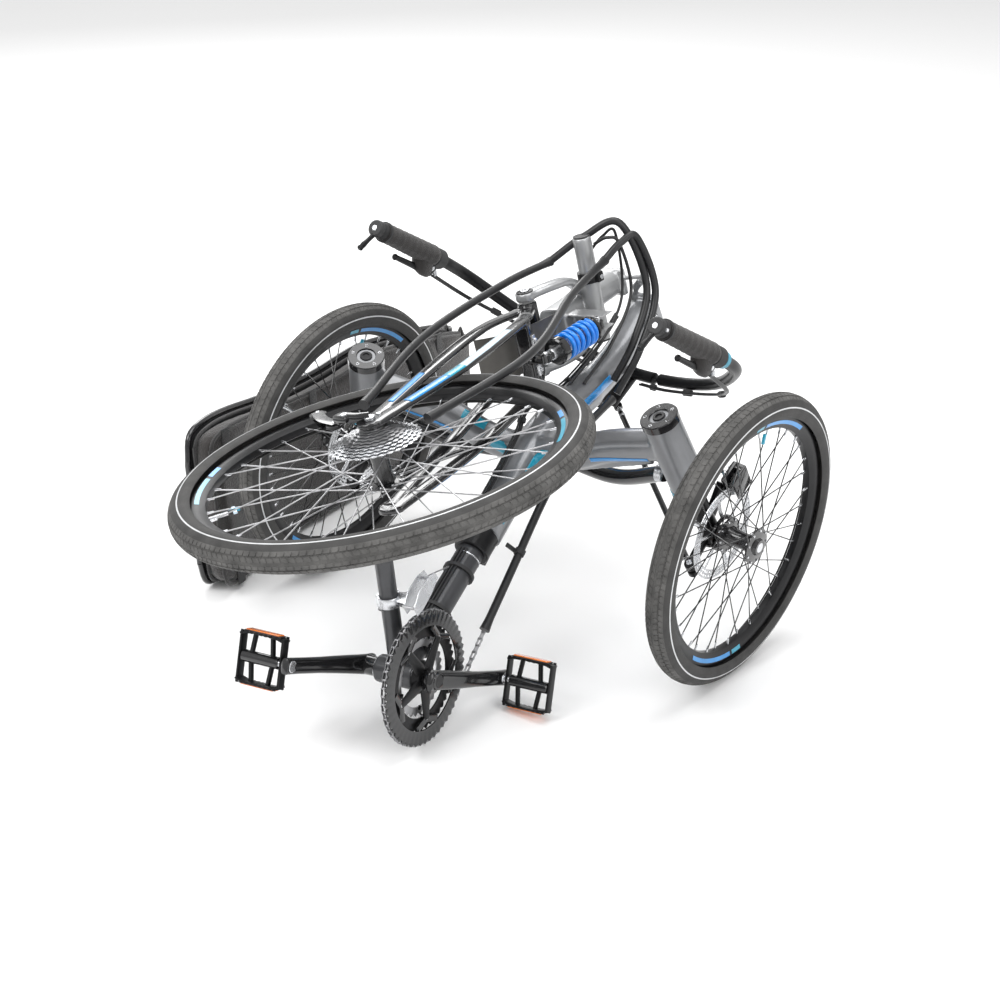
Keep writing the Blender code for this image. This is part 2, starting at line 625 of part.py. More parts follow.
def build_chain_tubes(front, rear):
    drive = [(0.050, 1.215, 0.372), (0.062, 0.980, 0.385), (0.075, 0.760, 0.300),
             (0.085, 0.610, 0.262)]
    returned = [(0.062, 1.215, 0.240), (0.080, 0.980, 0.160), (0.090, 0.760, 0.150),
                (0.092, 0.640, 0.165)]
    node("chain_tube_rear_top", tube_mesh(smooth_path(drive, 4), (0.0070, 0.0070), 8),
         "black_plastic", rear)
    node("chain_tube_rear_low", tube_mesh(smooth_path(returned, 4), (0.0070, 0.0070), 8),
         "black_plastic", rear)
    low = [(0.0450, -0.283, 0.250), (0.045, -0.161, 0.259), (0.045, -0.035, 0.269),
           (0.045, 0.100, 0.262), (0.046, 0.225, 0.212)]
    node("chain_tube_front", tube_mesh(smooth_path(low, 3), (0.0070, 0.0070), 8),
         "black_plastic", front)


# ---------------------------------------------------------------- seat

# Inner face in plan, lower edge and width there, from the front edge of the pan to the head end
SEAT_LINE = [(-0.484, -0.228, 0.056, 0.200), (-0.487, -0.212, 0.012, 0.292),
             (-0.496, -0.160, 0.000, 0.312), (-0.511, -0.080, 0.004, 0.296),
             (-0.519, 0.010, 0.004, 0.280), (-0.518, 0.100, 0.003, 0.272),
             (-0.511, 0.200, 0.000, 0.276), (-0.504, 0.330, 0.000, 0.283),
             (-0.501, 0.460, 0.002, 0.262), (-0.505, 0.600, 0.012, 0.222),
             (-0.510, 0.6878, 0.034, 0.170)]


# The slab's rounded lower edge lets the seat sink by this much to touch the floor
SEAT_SETTLE = 0.0023


def seat_slab(offset, depth, inset):
    """A slab that follows the seat's curve, stands on its edge and leans outwards."""
    lean = Vector((-sin(SEAT_LEAN), 0, cos(SEAT_LEAN)))
    out = Vector((-cos(SEAT_LEAN), 0, -sin(SEAT_LEAN)))
    ground = Z * ((CUSHION_DEPTH + SHELL_DEPTH) * sin(SEAT_LEAN) - SEAT_SETTLE)
    path, sizes = [], []
    for x, y, low, width in SEAT_LINE:
        middle = Vector((x, y, 0)) + ground + lean * (low + width / 2) + out * (offset + depth / 2)
        path.append(middle)
        sizes.append((depth / 2, width / 2 - inset))
    return tube_mesh(path, sizes, 12, 0.75, lean)


def build_seat(floor):
    node("seat_cushion", seat_slab(0.0, CUSHION_DEPTH - GAP, 0.004), "fabric", floor)
    node("seat_shell", seat_slab(CUSHION_DEPTH, SHELL_DEPTH, 0.0), "black_plastic", floor)


def build_trike():
    clear_scene()
    centre = empty("centre", None, Matrix.Translation((-CENTRE_X, -CENTRE_Y, 0)))
    standing = Matrix.Translation((0, 0, -DROP)) @ Matrix.Rotation(ROLL, 4, Y)
    trike = empty("trike", centre, standing)
    axle_line = Vector((0, 0, FRONT_TYRE_R))
    front = empty("front_section", trike, about(axle_line, X, NOSE_DOWN))
    rear = empty("rear_section", front, about(FOLD_POINT, FOLD_AXIS, FOLD_ANGLE))
    build_main_frame(front)
    build_lower_tube(front)
    roll = build_boom(front)
    build_hinge_lever(front)
    build_cable_run(front)
    build_front_corner("right", False, front)
    build_front_corner("left", True, front)
    build_handlebar(front)
    build_tie_rods(front)
    build_cranks(roll)
    build_rear_frame(rear)
    build_swingarm(rear)
    build_shock(rear)
    build_rear_wheel(rear)
    build_axle(rear)
    build_rear_derailleur(rear)
    build_guard(rear)
    build_chain_tubes(front, rear)
    build_seat(centre)


if __name__ == "__main__":
    build_trike()
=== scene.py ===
"""Looks of the folded recumbent trike: finishes, fine parts, fabric, floor, light and camera.

Every piece is drawn on the riding trike (+X drive side, +Y back, +Z up, origin on the floor
under the front axle) and put in place by the matrix of the section that carries it.
"""

import json
import logging
from dataclasses import dataclass, field
from enum import Enum
from math import acos, atan2, cos, pi, radians, sin, sqrt, tau

import bmesh
import bpy
from mathutils import Matrix, Vector
from mathutils.bvhtree import BVHTree

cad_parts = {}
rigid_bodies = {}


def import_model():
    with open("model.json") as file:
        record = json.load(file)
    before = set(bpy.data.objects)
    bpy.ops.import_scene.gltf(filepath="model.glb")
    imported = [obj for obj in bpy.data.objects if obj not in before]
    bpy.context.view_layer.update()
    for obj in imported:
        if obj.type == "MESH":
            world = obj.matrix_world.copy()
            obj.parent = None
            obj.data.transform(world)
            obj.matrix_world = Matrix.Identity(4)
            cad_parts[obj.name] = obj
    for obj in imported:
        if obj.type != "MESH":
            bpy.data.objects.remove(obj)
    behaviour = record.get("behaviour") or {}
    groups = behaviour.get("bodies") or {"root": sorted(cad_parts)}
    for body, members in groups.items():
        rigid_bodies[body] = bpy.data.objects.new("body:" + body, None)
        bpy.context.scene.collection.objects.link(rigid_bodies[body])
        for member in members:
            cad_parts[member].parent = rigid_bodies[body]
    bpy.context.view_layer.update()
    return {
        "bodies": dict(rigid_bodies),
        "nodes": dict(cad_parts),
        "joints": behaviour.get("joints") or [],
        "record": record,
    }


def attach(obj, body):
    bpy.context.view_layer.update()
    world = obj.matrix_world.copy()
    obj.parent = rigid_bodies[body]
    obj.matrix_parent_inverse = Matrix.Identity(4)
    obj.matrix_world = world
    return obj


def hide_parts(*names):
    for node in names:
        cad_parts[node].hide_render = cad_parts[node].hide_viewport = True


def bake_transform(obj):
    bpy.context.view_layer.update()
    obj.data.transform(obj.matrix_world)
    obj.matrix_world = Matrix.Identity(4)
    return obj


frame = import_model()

log = logging.getLogger("trike")
X, Y, Z = Vector((1, 0, 0)), Vector((0, 1, 0)), Vector((0, 0, 1))
Point = tuple[float, float, float]
TINT_SCALE = 38.0
TINT_DETAIL = 6.0
ROUGHNESS_SPREAD = 0.07
COAT_ROUGHNESS = 0.08
SHEEN_ROUGHNESS = 0.45
BUMP_DISTANCE = 0.001
SLAB_POINTS = 24
DECAL_THICKNESS = 0.0004


# ---------------------------------------------------------------- finishes

class Grain(Enum):
    """Kind of fine relief that a finish carries."""

    SMOOTH = "smooth"
    PEEL = "peel"
    BRUSHED = "brushed"
    MOULDED = "moulded"
    WEAVE = "weave"


@dataclass(frozen=True)
class Finish:
    """One surface finish, made of procedural nodes."""

    name: str
    slot: str
    colour: tuple[float, float, float]
    roughness: float = 0.4
    metallic: float = 0.0
    coat: float = 0.0
    sheen: float = 0.0
    grain: Grain = Grain.SMOOTH
    scale: float = 300.0
    depth: float = 0.05
    variety: float = 0.12

    def material(self) -> bpy.types.Material:
        """Makes the material once.

        Returns:
            The Blender material of this finish.
        """
        found = bpy.data.materials.get(self.name)
        if found:
            return found
        made = bpy.data.materials.new(self.name)
        made.use_nodes = True
        tree = made.node_tree
        shader = tree.nodes["Principled BSDF"]
        shader.inputs["Metallic"].default_value = self.metallic
        shader.inputs["Coat Weight"].default_value = self.coat
        shader.inputs["Coat Roughness"].default_value = COAT_ROUGHNESS
        shader.inputs["Sheen Weight"].default_value = self.sheen
        shader.inputs["Sheen Roughness"].default_value = SHEEN_ROUGHNESS
        place = tree.nodes.new("ShaderNodeTexCoord")
        self._tint(tree, shader, place)
        self._relief(tree, shader, place)
        return made

    def _tint(self, tree: bpy.types.NodeTree, shader: bpy.types.Node,
              place: bpy.types.Node) -> None:
        """Varies colour and roughness slightly over the surface.

        Args:
            tree: Node tree of the material.
            shader: Its Principled shader.
            place: Its texture coordinate node.
        """
        noise = tree.nodes.new("ShaderNodeTexNoise")
        noise.inputs["Scale"].default_value = TINT_SCALE
        noise.inputs["Detail"].default_value = TINT_DETAIL
        tree.links.new(place.outputs["Object"], noise.inputs["Vector"])
        ramp = tree.nodes.new("ShaderNodeValToRGB")
        dark = [c * (1 - self.variety) for c in self.colour]
        light = [min(1.0, c * (1 + self.variety) + 0.002) for c in self.colour]
        ramp.color_ramp.elements[0].color = (*dark, 1)
        ramp.color_ramp.elements[1].color = (*light, 1)
        ramp.color_ramp.elements[0].position, ramp.color_ramp.elements[1].position = 0.3, 0.7
        tree.links.new(noise.outputs["Fac"], ramp.inputs["Fac"])
        tree.links.new(ramp.outputs["Color"], shader.inputs["Base Color"])
        rough = tree.nodes.new("ShaderNodeMapRange")
        rough.inputs["To Min"].default_value = max(0.03, self.roughness - ROUGHNESS_SPREAD)
        rough.inputs["To Max"].default_value = min(1.0, self.roughness + ROUGHNESS_SPREAD)
        tree.links.new(noise.outputs["Fac"], rough.inputs["Value"])
        tree.links.new(rough.outputs["Result"], shader.inputs["Roughness"])

    def _relief(self, tree: bpy.types.NodeTree, shader: bpy.types.Node,
                place: bpy.types.Node) -> None:
        """Adds the bump that the grain asks for.

        Args:
            tree: Node tree of the material.
            shader: Its Principled shader.
            place: Its texture coordinate node.
        """
        if self.grain is Grain.SMOOTH:
            return
        mapping = tree.nodes.new("ShaderNodeMapping")
        tree.links.new(place.outputs["Object"], mapping.inputs["Vector"])
        if self.grain is Grain.BRUSHED:
            mapping.inputs["Scale"].default_value = (1.0, 14.0, 14.0)
        if self.grain is Grain.WEAVE:
            texture = tree.nodes.new("ShaderNodeTexVoronoi")
            texture.feature = "F1"
            height = texture.outputs["Distance"]
        else:
            texture = tree.nodes.new("ShaderNodeTexNoise")
            texture.inputs["Detail"].default_value = 3.0
            height = texture.outputs["Fac"]
        texture.inputs["Scale"].default_value = self.scale
        tree.links.new(mapping.outputs["Vector"], texture.inputs["Vector"])
        bump = tree.nodes.new("ShaderNodeBump")
        bump.inputs["Strength"].default_value = min(1.0, self.depth * 4)
        bump.inputs["Distance"].default_value = BUMP_DISTANCE
        tree.links.new(height, bump.inputs["Height"])
        tree.links.new(bump.outputs["Normal"], shader.inputs["Normal"])


GREY = Finish("frame_grey", "light_grey_paint", (0.205, 0.21, 0.22), 0.34, 0.55, 0.40,
              grain=Grain.PEEL, scale=420, depth=0.02, variety=0.06)
ALLOY = Finish("rear_alloy", "light_grey_paint", (0.38, 0.385, 0.39), 0.36, 0.55, 0.30,
               grain=Grain.PEEL, scale=420, depth=0.01, variety=0.05)
SILVER = Finish("machined_silver", "bright_steel", (0.66, 0.67, 0.69), 0.26, 1.0,
                grain=Grain.BRUSHED, scale=500, depth=0.04)
STEEL = Finish("chain_steel", "bright_steel", (0.42, 0.42, 0.43), 0.32, 1.0, grain=Grain.BRUSHED,
               scale=700, depth=0.04, variety=0.2)
CHARCOAL = Finish("boom_charcoal", "dark_grey_paint", (0.045, 0.046, 0.050), 0.38, 0.35, 0.25,
                  grain=Grain.PEEL, scale=420, depth=0.02)
PANEL = Finish("panel_grey", "dark_grey_paint", (0.105, 0.100, 0.092), 0.42, 0.1,
               grain=Grain.MOULDED,
               scale=900, depth=0.04)
BLACK = Finish("black_anodised", "black_metal", (0.014, 0.014, 0.015), 0.34, 0.6,
               grain=Grain.PEEL, scale=600, depth=0.02)
GLOSS = Finish("gloss_black", "black_metal", (0.010, 0.010, 0.011), 0.16, 0.2, 0.6,
               grain=Grain.PEEL, scale=300, depth=0.01)
PLASTIC = Finish("moulded_black", "black_plastic", (0.020, 0.020, 0.021), 0.55,
                 grain=Grain.MOULDED, scale=1100, depth=0.06)
CABLE = Finish("cable_black", "black_plastic", (0.012, 0.012, 0.013), 0.38, grain=Grain.MOULDED,
               scale=900, depth=0.02)
GRIP = Finish("grip_foam", "grip_rubber", (0.024, 0.021, 0.020), 0.85, sheen=0.25,
              grain=Grain.MOULDED, scale=1500, depth=0.15, variety=0.2)
TYRE = Finish("tyre_side", "tyre_rubber", (0.034, 0.033, 0.032), 0.68, grain=Grain.MOULDED,
              scale=700, depth=0.16, variety=0.35)
TREAD = Finish("tyre_tread", "tyre_rubber", (0.085, 0.083, 0.080), 0.82, grain=Grain.MOULDED,
               scale=420, depth=0.22, variety=0.40)
STRIPE = Finish("reflective_stripe", "tyre_rubber", (0.62, 0.63, 0.64), 0.4, 0.2,
                grain=Grain.MOULDED, scale=900, depth=0.03)
BLUE = Finish("spring_blue", "blue_paint", (0.004, 0.22, 0.80), 0.22, 0.1, 0.7, grain=Grain.PEEL,
              scale=300, depth=0.015)
DECAL = Finish("decal_blue", "blue_paint", (0.008, 0.235, 0.60), 0.3, 0.0, 0.4, grain=Grain.PEEL,
               scale=300, depth=0.01)
TEAL = Finish("decal_teal", "blue_paint", (0.01, 0.30, 0.44), 0.3, 0.0, 0.4, grain=Grain.PEEL,
              scale=300, depth=0.01)
PALE = Finish("decal_pale", "blue_paint", (0.60, 0.74, 0.84), 0.3, 0.0, 0.4, grain=Grain.PEEL,
              scale=300, depth=0.01)
AMBER = Finish("reflector_amber", "black_plastic", (0.85, 0.20, 0.012), 0.18, 0.0, 0.8,
               grain=Grain.WEAVE, scale=600, depth=0.1)
MESH_CLOTH = Finish("spacer_mesh", "seat_fabric", (0.022, 0.019, 0.018), 0.92, sheen=0.5,
                    grain=Grain.WEAVE, scale=420, depth=0.25, variety=0.22)
PIPING = Finish("seat_piping", "seat_fabric", (0.011, 0.010, 0.010), 0.7, sheen=0.3,
                grain=Grain.WEAVE, scale=900, depth=0.15)
WEBBING = Finish("seat_webbing", "seat_fabric", (0.012, 0.012, 0.013), 0.75, sheen=0.3,
                 grain=Grain.BRUSHED, scale=300, depth=0.15)


# ---------------------------------------------------------------- where the sections stand

def about(point: Vector, axis: Vector, angle: float) -> Matrix:
    """Returns the matrix that turns things by an angle about an axis through a point."""
    point = Vector(point)
    turn = Matrix.Rotation(angle, 4, axis)
    return Matrix.Translation(point) @ turn @ Matrix.Translation(-point)


def flip(point: Vector) -> Vector:
    """Returns the point mirrored to the other side."""
    return Vector((-point[0], point[1], point[2]))


def same(point: Vector) -> Vector:
    """Returns the point itself, as a vector."""
    return Vector(point)


@dataclass(frozen=True)
class Stance:
    """Driving sizes of the trike and the matrices that fold and stand it."""

    centre: tuple[float, float] = (-0.0730, -0.0132)
    roll: float = -0.0113
    drop: float = 0.0010
    nose_down: float = radians(32.2)
    fold_angle: float = radians(155.65)
    fold_axis: Point = (0.6112, 0.1339, 0.7800)
    fold_point: Point = (0.0, 0.4785, 0.2276)
    steer_angle: float = radians(-11.0)
    track: float = 0.780
    front_tyre: tuple[float, float] = (0.2470, 0.0225)
    rear_tyre: tuple[float, float] = (0.3250, 0.0235)
    wheelbase: float = 1.285
    kingpin: Point = (0.325, 0.0, 0.247)
    kingpin_axis: Point = (-0.235, 0.184, 0.955)
    bar_pivot: Point = (0.0, 0.345, 0.132)
    bar_axis: Point = (0.0, 0.184, 0.983)
    grip_low: Point = (0.303, 0.300, 0.352)
    grip_high: Point = (0.295, 0.205, 0.535)
    steering_arm: Point = (0.0, -0.065, 0.0)
    bottom_bracket: Point = (0.0, -0.4365, 0.3538)
    boom_back: Point = (0.0, -0.1400, 0.3205)
    boom_roll: float = radians(-5.2)
    crank_angle: float = radians(-56.5)
    crank_length: float = 0.170
    chainline: float = 0.045
    pedal_tilt: float = radians(68.0)
    pedal_out: float = 0.052
    swing_pivot: Point = (0.0, 0.750, 0.190)

    def floor(self) -> Matrix:
        """Returns the shift that centres the whole object on the origin."""
        return Matrix.Translation((-self.centre[0], -self.centre[1], 0))

    def front(self) -> Matrix:
        """Returns the placing of the front section."""
        standing = Matrix.Translation((0, 0, -self.drop)) @ Matrix.Rotation(self.roll, 4, Y)
        pitch = about(Vector((0, 0, self.front_tyre[0])), X, self.nose_down)
        return self.floor() @ standing @ pitch

    def rear(self) -> Matrix:
        """Returns the placing of the folded rear section."""
        axis = Vector(self.fold_axis).normalized()
        return self.front() @ about(self.fold_point, axis, self.fold_angle)

    def steered(self, side: int) -> Matrix:
        """Returns the placing of a front corner; side is 1 on the drive side, else -1."""
        place = same if side > 0 else flip
        axis = place(self.kingpin_axis).normalized()
        return self.front() @ about(place(self.kingpin), axis, self.steer_angle)

    def bar(self) -> Matrix:
        """Returns the placing of the turned handlebar."""
        axis = Vector(self.bar_axis).normalized()
        return self.front() @ about(self.bar_pivot, axis, self.steer_angle)

    def boom(self) -> Matrix:
        """Returns the placing of the boom, rolled in its clamp."""
        back, ahead = Vector(self.boom_back), Vector(self.bottom_bracket)
        return self.front() @ about(ahead, (back - ahead).normalized(), self.boom_roll)

    def crank(self) -> Matrix:
        """Returns the placing of the turned cranks."""
        return self.boom() @ about(self.bottom_bracket, X, self.crank_angle)

    def pedal_at(self, side: int) -> Vector:
        """Returns a pedal's middle in the crank's own frame."""
        end = Vector(self.bottom_bracket) + Y * side * self.crank_length + X * side * 0.084
        return end + X * side * self.pedal_out

    def pedal(self, side: int) -> Matrix:
        """Returns the placing of one pedal."""
        tilt = -self.crank_angle - self.nose_down + self.pedal_tilt
        return self.crank() @ about(self.pedal_at(side), X, tilt)

    def boom_line(self, y: float) -> Vector:
        """Returns the boom's centre point at this Y."""
        back, ahead = Vector(self.boom_back), Vector(self.bottom_bracket)
        return back.lerp(ahead, (y - back.y) / (ahead.y - back.y))


STANCE = Stance()


# ---------------------------------------------------------------- mesh maker

def curve_through(points: list, steps: int = 6) -> list[Vector]:
    """Samples a smooth curve through points.

    Args:
        points: Points the curve passes through.
        steps: Samples between two points.

    Returns:
        The samples, ends included.
    """
    points = [Vector(p) for p in points]
    ends = [points[0] * 2 - points[1], *points, points[-1] * 2 - points[-2]]
    path = []
    for a, b, c, d in zip(ends, ends[1:], ends[2:], ends[3:]):
        for step in range(steps):
            t = step / steps
            path.append(0.5 * (2 * b + (c - a) * t + (2 * a - 5 * b + 4 * c - d) * t**2
                               + (3 * b - a - 3 * c + d) * t**3))
    return [*path, points[-1]]


class Piece:
    """Collects shapes into one mesh and turns it into an object."""

    def __init__(self, name: str, place: Matrix) -> None:
        """Starts an empty piece.

        Args:
            name: Name of the object to make.
            place: Matrix from riding coordinates to the world.
        """
        self.name, self.place = name, place
        self.bm = bmesh.new()
        self.finishes: list[Finish] = []

    def index_of(self, finish: Finish) -> int:
        """Returns the material index of a finish, adding it if new."""
        if finish not in self.finishes:
            self.finishes.append(finish)
        return self.finishes.index(finish)

    def skin(self, rings: list[list[Vector]], finish: Finish, loop: bool, caps: bool) -> None:
        """Skins rings of points.

        Args:
            rings: Rings of equal length.
            finish: Finish of the skin.
            loop: Whether the last ring joins the first.
            caps: Whether the two ends are closed.
        """
        index = self.index_of(finish)
        made = [[self.bm.verts.new(p) for p in ring] for ring in rings]
        pairs = list(zip(made, made[1:] + (made[:1] if loop else [])))
        for first, second in pairs:
            for k in range(len(first)):
                n = (k + 1) % len(first)
                self.bm.faces.new((first[k], first[n], second[n],
                                   second[k])).material_index = index
        if caps and not loop:
            for ring in (made[0], made[-1]):
                self.bm.faces.new(ring).material_index = index

    def tube(self, path: list, size: float | tuple | list, finish: Finish, sides: int = 16,
             square: float = 0.0, up: Vector = Z, taper: list | None = None) -> "Piece":
        """Adds a tube along a path.

        Args:
            path: Centre points.
            size: Radius, or (half width, half height), or one such pair for each point.
            finish: Finish of the tube.
            sides: Points round the section.
            square: 0 is round and 1 nearly a rectangle.
            up: Direction of the section's height.
            taper: Scale of the section at each point.

        Returns:
            The piece itself.
        """
        path = [Vector(p) for p in path]
        if not isinstance(size, list):
            size = [size if isinstance(size, tuple) else (size, size)] * len(path)
        power = 1.0 - 0.72 * square
        rings = []
        for index, point in enumerate(path):
            before, after = path[max(index - 1, 0)], path[min(index + 1, len(path) - 1)]
            along = (after - before).normalized()
            side = along.cross(up)
            side = side.normalized() if side.length > 1e-4 else along.orthogonal().normalized()
            top = side.cross(along).normalized()
            wide, high = size[index]
            scale = taper[index] if taper else 1.0
            ring = []
            for k in range(sides):
                angle = tau * (k + 0.5) / sides
                c, s = cos(angle), sin(angle)
                u = wide * scale * abs(c) ** power * (1 if c > 0 else -1)
                v = high * scale * abs(s) ** power * (1 if s > 0 else -1)
                ring.append(point + side * u + top * v)
            rings.append(ring)
        self.skin(rings, finish, False, True)
        return self

    def rod(self, start: Vector, end: Vector, radius: float, finish: Finish, sides: int = 20,
            bevel: float = 0.0, end_radius: float | None = None) -> "Piece":
        """Adds a straight round rod, with its rims bevelled if asked.

        Args:
            start: One end.
            end: Other end.
            radius: Radius at the start.
            finish: Finish of the rod.
            sides: Points round the section.
            bevel: Size of the rim bevel.
            end_radius: Radius at the end, when it tapers.

        Returns:
            The piece itself.
        """
        start, end = Vector(start), Vector(end)
        last = radius if end_radius is None else end_radius
        along = (end - start).normalized()
        up = X if abs(along.dot(X)) < 0.8 else Z
        if bevel:
            path = [start, start + along * bevel, end - along * bevel, end]
            sizes = [(radius - bevel,) * 2, (radius,) * 2, (last,) * 2, (last - bevel,) * 2]
        else:
            path, sizes = [start, end], [(radius,) * 2, (last,) * 2]
        rings = []
        side = along.cross(up).normalized()
        top = side.cross(along)
        for point, (size, _) in zip(path, sizes):
            rings.append([point + (side * cos(tau * k / sides) + top * sin(tau * k / sides)) * size
                          for k in range(sides)])
        self.skin(rings, finish, False, True)
        return self

    def turned(self, profile: list, finish: Finish | list, centre: Point = (0, 0, 0),
               axis: Vector = X, steps: int = 64, closed: bool = True) -> "Piece":
        """Adds a ring turned about an axis.

        Args:
            profile: (along, radius) points of the outline.
            finish: One finish, or one for each edge of the outline.
            centre: Point on the axis.
            axis: Direction of the axis.
            steps: Segments round the axis.
            closed: Whether the outline is a closed loop.

        Returns:
            The piece itself.
        """
        centre, axis = Vector(centre), Vector(axis).normalized()
        u = Y if abs(axis.dot(X)) > 0.9 else axis.orthogonal().normalized()
        v = axis.cross(u)
        made = []
        for step in range(steps):
            angle = tau * step / steps
            spoke = u * cos(angle) + v * sin(angle)
            made.append([self.bm.verts.new(centre + axis * x + spoke * r) for x, r in profile])
        count = len(profile)
        for first, second in zip(made, made[1:] + made[:1]):
            for k in range(count if closed else count - 1):
                n = (k + 1) % count
                each = finish[k] if isinstance(finish, list) else finish
                face = self.bm.faces.new((first[k], first[n], second[n], second[k]))
                face.material_index = self.index_of(each)
        return self

    def slab(self, path: list[Vector], widths: list[float], depth: float, corner: float,
             finish: Finish, up: Vector, out: Vector) -> "Piece":
        """Adds a bent slab with a rounded rectangular section.

        Args:
            path: Centre points.
            widths: Height of the section at each point.
            depth: Thickness of the slab.
            corner: Radius of the section's corners.
            finish: Finish of the slab.
            up: Direction of the section's height.
            out: Direction of its thickness.

        Returns:
            The piece itself.
        """
        rings = []
        for point, width in zip(path, widths):
            ring = []
            for k in range(SLAB_POINTS):
                angle = tau * (k + 0.5) / SLAB_POINTS
                c, s = cos(angle), sin(angle)
                u = (depth / 2 - corner) * (1 if c > 0 else -1) + corner * c
                v = (width / 2 - corner) * (1 if s > 0 else -1) + corner * s
                ring.append(point + out * u + up * v)
            rings.append(ring)
        self.skin(rings, finish, False, True)
        return self

    def block(self, centre: Point, half: Point, finish: Finish, turn: Matrix | None = None,
              bevel: float = 0.001) -> "Piece":
        """Adds a box with rounded edges.

        Args:
            centre: Middle of the box.
            half: Half sizes.
            finish: Finish of the box.
            turn: Rotation of the box.
            bevel: Radius of the edges.

        Returns:
            The piece itself.
        """
        matrix = Matrix.Translation(Vector(centre)) @ (turn or Matrix.Identity(4))
        size = Matrix.Diagonal((*[2 * h for h in half], 1.0))
        made = bmesh.ops.create_cube(self.bm, size=1.0, matrix=matrix @ size)
        index = self.index_of(finish)
        edges = {edge for vert in made["verts"] for edge in vert.link_edges}
        faces = {face for vert in made["verts"] for face in vert.link_faces}
        for face in faces:
            face.material_index = index
        if bevel:
            small = min(bevel, min(half) * 0.8)
            done = bmesh.ops.bevel(self.bm, geom=list(edges), offset=small, segments=2,
                                   affect="EDGES", profile=0.5, clamp_overlap=True)
            for face in done["faces"]:
                face.material_index = index
        return self

    def plate(self, outline: list, thick: float, matrix: Matrix, finish: Finish,
              bevel: float = 0.0006) -> "Piece":
        """Adds a flat plate cut to an outline.

        Args:
            outline: (u, v) points in the plate's own plane.
            thick: Thickness along the plate's own Z.
            matrix: Placing of the plate.
            finish: Finish of the plate.
            bevel: Radius of its edges.

        Returns:
            The piece itself.
        """
        index = self.index_of(finish)
        low = [self.bm.verts.new(matrix @ Vector((u, v, -thick / 2))) for u, v in outline]
        high = [self.bm.verts.new(matrix @ Vector((u, v, thick / 2))) for u, v in outline]
        faces = [self.bm.faces.new(low), self.bm.faces.new(high)]
        for k in range(len(outline)):
            n = (k + 1) % len(outline)
            faces.append(self.bm.faces.new((low[k], low[n], high[n], high[k])))
        for face in faces:
            face.material_index = index
        if bevel:
            rim = [edge for edge in {e for f in faces[:2] for e in f.edges}]
            done = bmesh.ops.bevel(self.bm, geom=rim, offset=bevel, segments=1, affect="EDGES")
            for face in done["faces"]:
                face.material_index = index
        return self

    def bolt(self, at: Point, axis: Vector, radius: float, height: float,
             finish: Finish = BLACK) -> "Piece":
        """Adds a cap screw with a hexagon socket.

        Args:
            at: Foot of the head.
            axis: Way the head faces.
            radius: Radius of the head.
            height: Height of the head.
            finish: Finish of the screw.

        Returns:
            The piece itself.
        """
        axis = Vector(axis).normalized()
        rise, lip = height, height * 0.2
        outline = [(0, radius), (rise - lip, radius), (rise, radius - lip), (rise, radius * 0.55),
                   (rise * 0.45, radius * 0.5), (rise * 0.45, 0.0001), (0, 0.0001)]
        return self.turned(outline, finish, at, axis, 12)

    def finish(self, body: str | None, replaces: list[str] | None = None, sharp: float = 38.0,
               subdivide: int = 0) -> bpy.types.Object:
        """Makes the object, places it and lets it ride.

        Args:
            body: Body that carries the piece.
            replaces: CAD nodes that the piece stands for.
            sharp: Angle in degrees over which an edge stays sharp.
            subdivide: Levels of subdivision applied at once.

        Returns:
            The new object.
        """
        bmesh.ops.recalc_face_normals(self.bm, faces=self.bm.faces)
        mesh = bpy.data.meshes.new(self.name)
        self.bm.to_mesh(mesh)
        self.bm.free()
        mesh.transform(self.place)
        for each in self.finishes:
            mesh.materials.append(each.material())
        obj = bpy.data.objects.new(self.name, mesh)
        bpy.context.scene.collection.objects.link(obj)
        if subdivide:
            apply_modifier(obj, "SUBSURF", levels=subdivide, render_levels=subdivide)
        obj.data.shade_smooth()
        obj.data.set_sharp_from_angle(angle=radians(sharp))
        settle(obj, body, replaces)
        return obj


def settle(obj: bpy.types.Object, body: str | None, replaces: list[str] | None) -> None:
    """Lets an object ride on a body and stand for CAD nodes, and reports it."""
    if body:
        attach(obj, body)
    if replaces:
        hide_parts(*replaces)
    log.info("%s rides on %s, %d faces", obj.name, body, len(obj.data.polygons))


def apply_modifier(obj: bpy.types.Object, kind: str, **settings: object) -> None:
    """Adds a modifier to an object and applies it at once.

    Args:
        obj: Object to change.
        kind: Blender's modifier type.
        settings: Values to set on the modifier.
    """
    modifier = obj.modifiers.new(kind.lower(), kind)
    for key, value in settings.items():
        setattr(modifier, key, value)
    graph = bpy.context.evaluated_depsgraph_get()
    mesh = bpy.data.meshes.new_from_object(obj.evaluated_get(graph))
    obj.modifiers.remove(modifier)
    obj.data = mesh


def weld(obj: bpy.types.Object, voxel: float, passes: int = 6, factor: float = 0.5) -> None:
    """Melts joined tubes into one skin with soft fillets at the welds.

    Args:
        obj: Object whose shapes overlap.
        voxel: Size of the remesh grid in metres.
        passes: Smoothing passes.
        factor: Strength of each pass.
    """
    materials = list(obj.data.materials)
    apply_modifier(obj, "REMESH", mode="VOXEL", voxel_size=voxel)
    apply_modifier(obj, "SMOOTH", factor=factor, iterations=passes)
    obj.data.materials.clear()
    for each in materials:
        obj.data.materials.append(each)
    obj.data.shade_smooth()


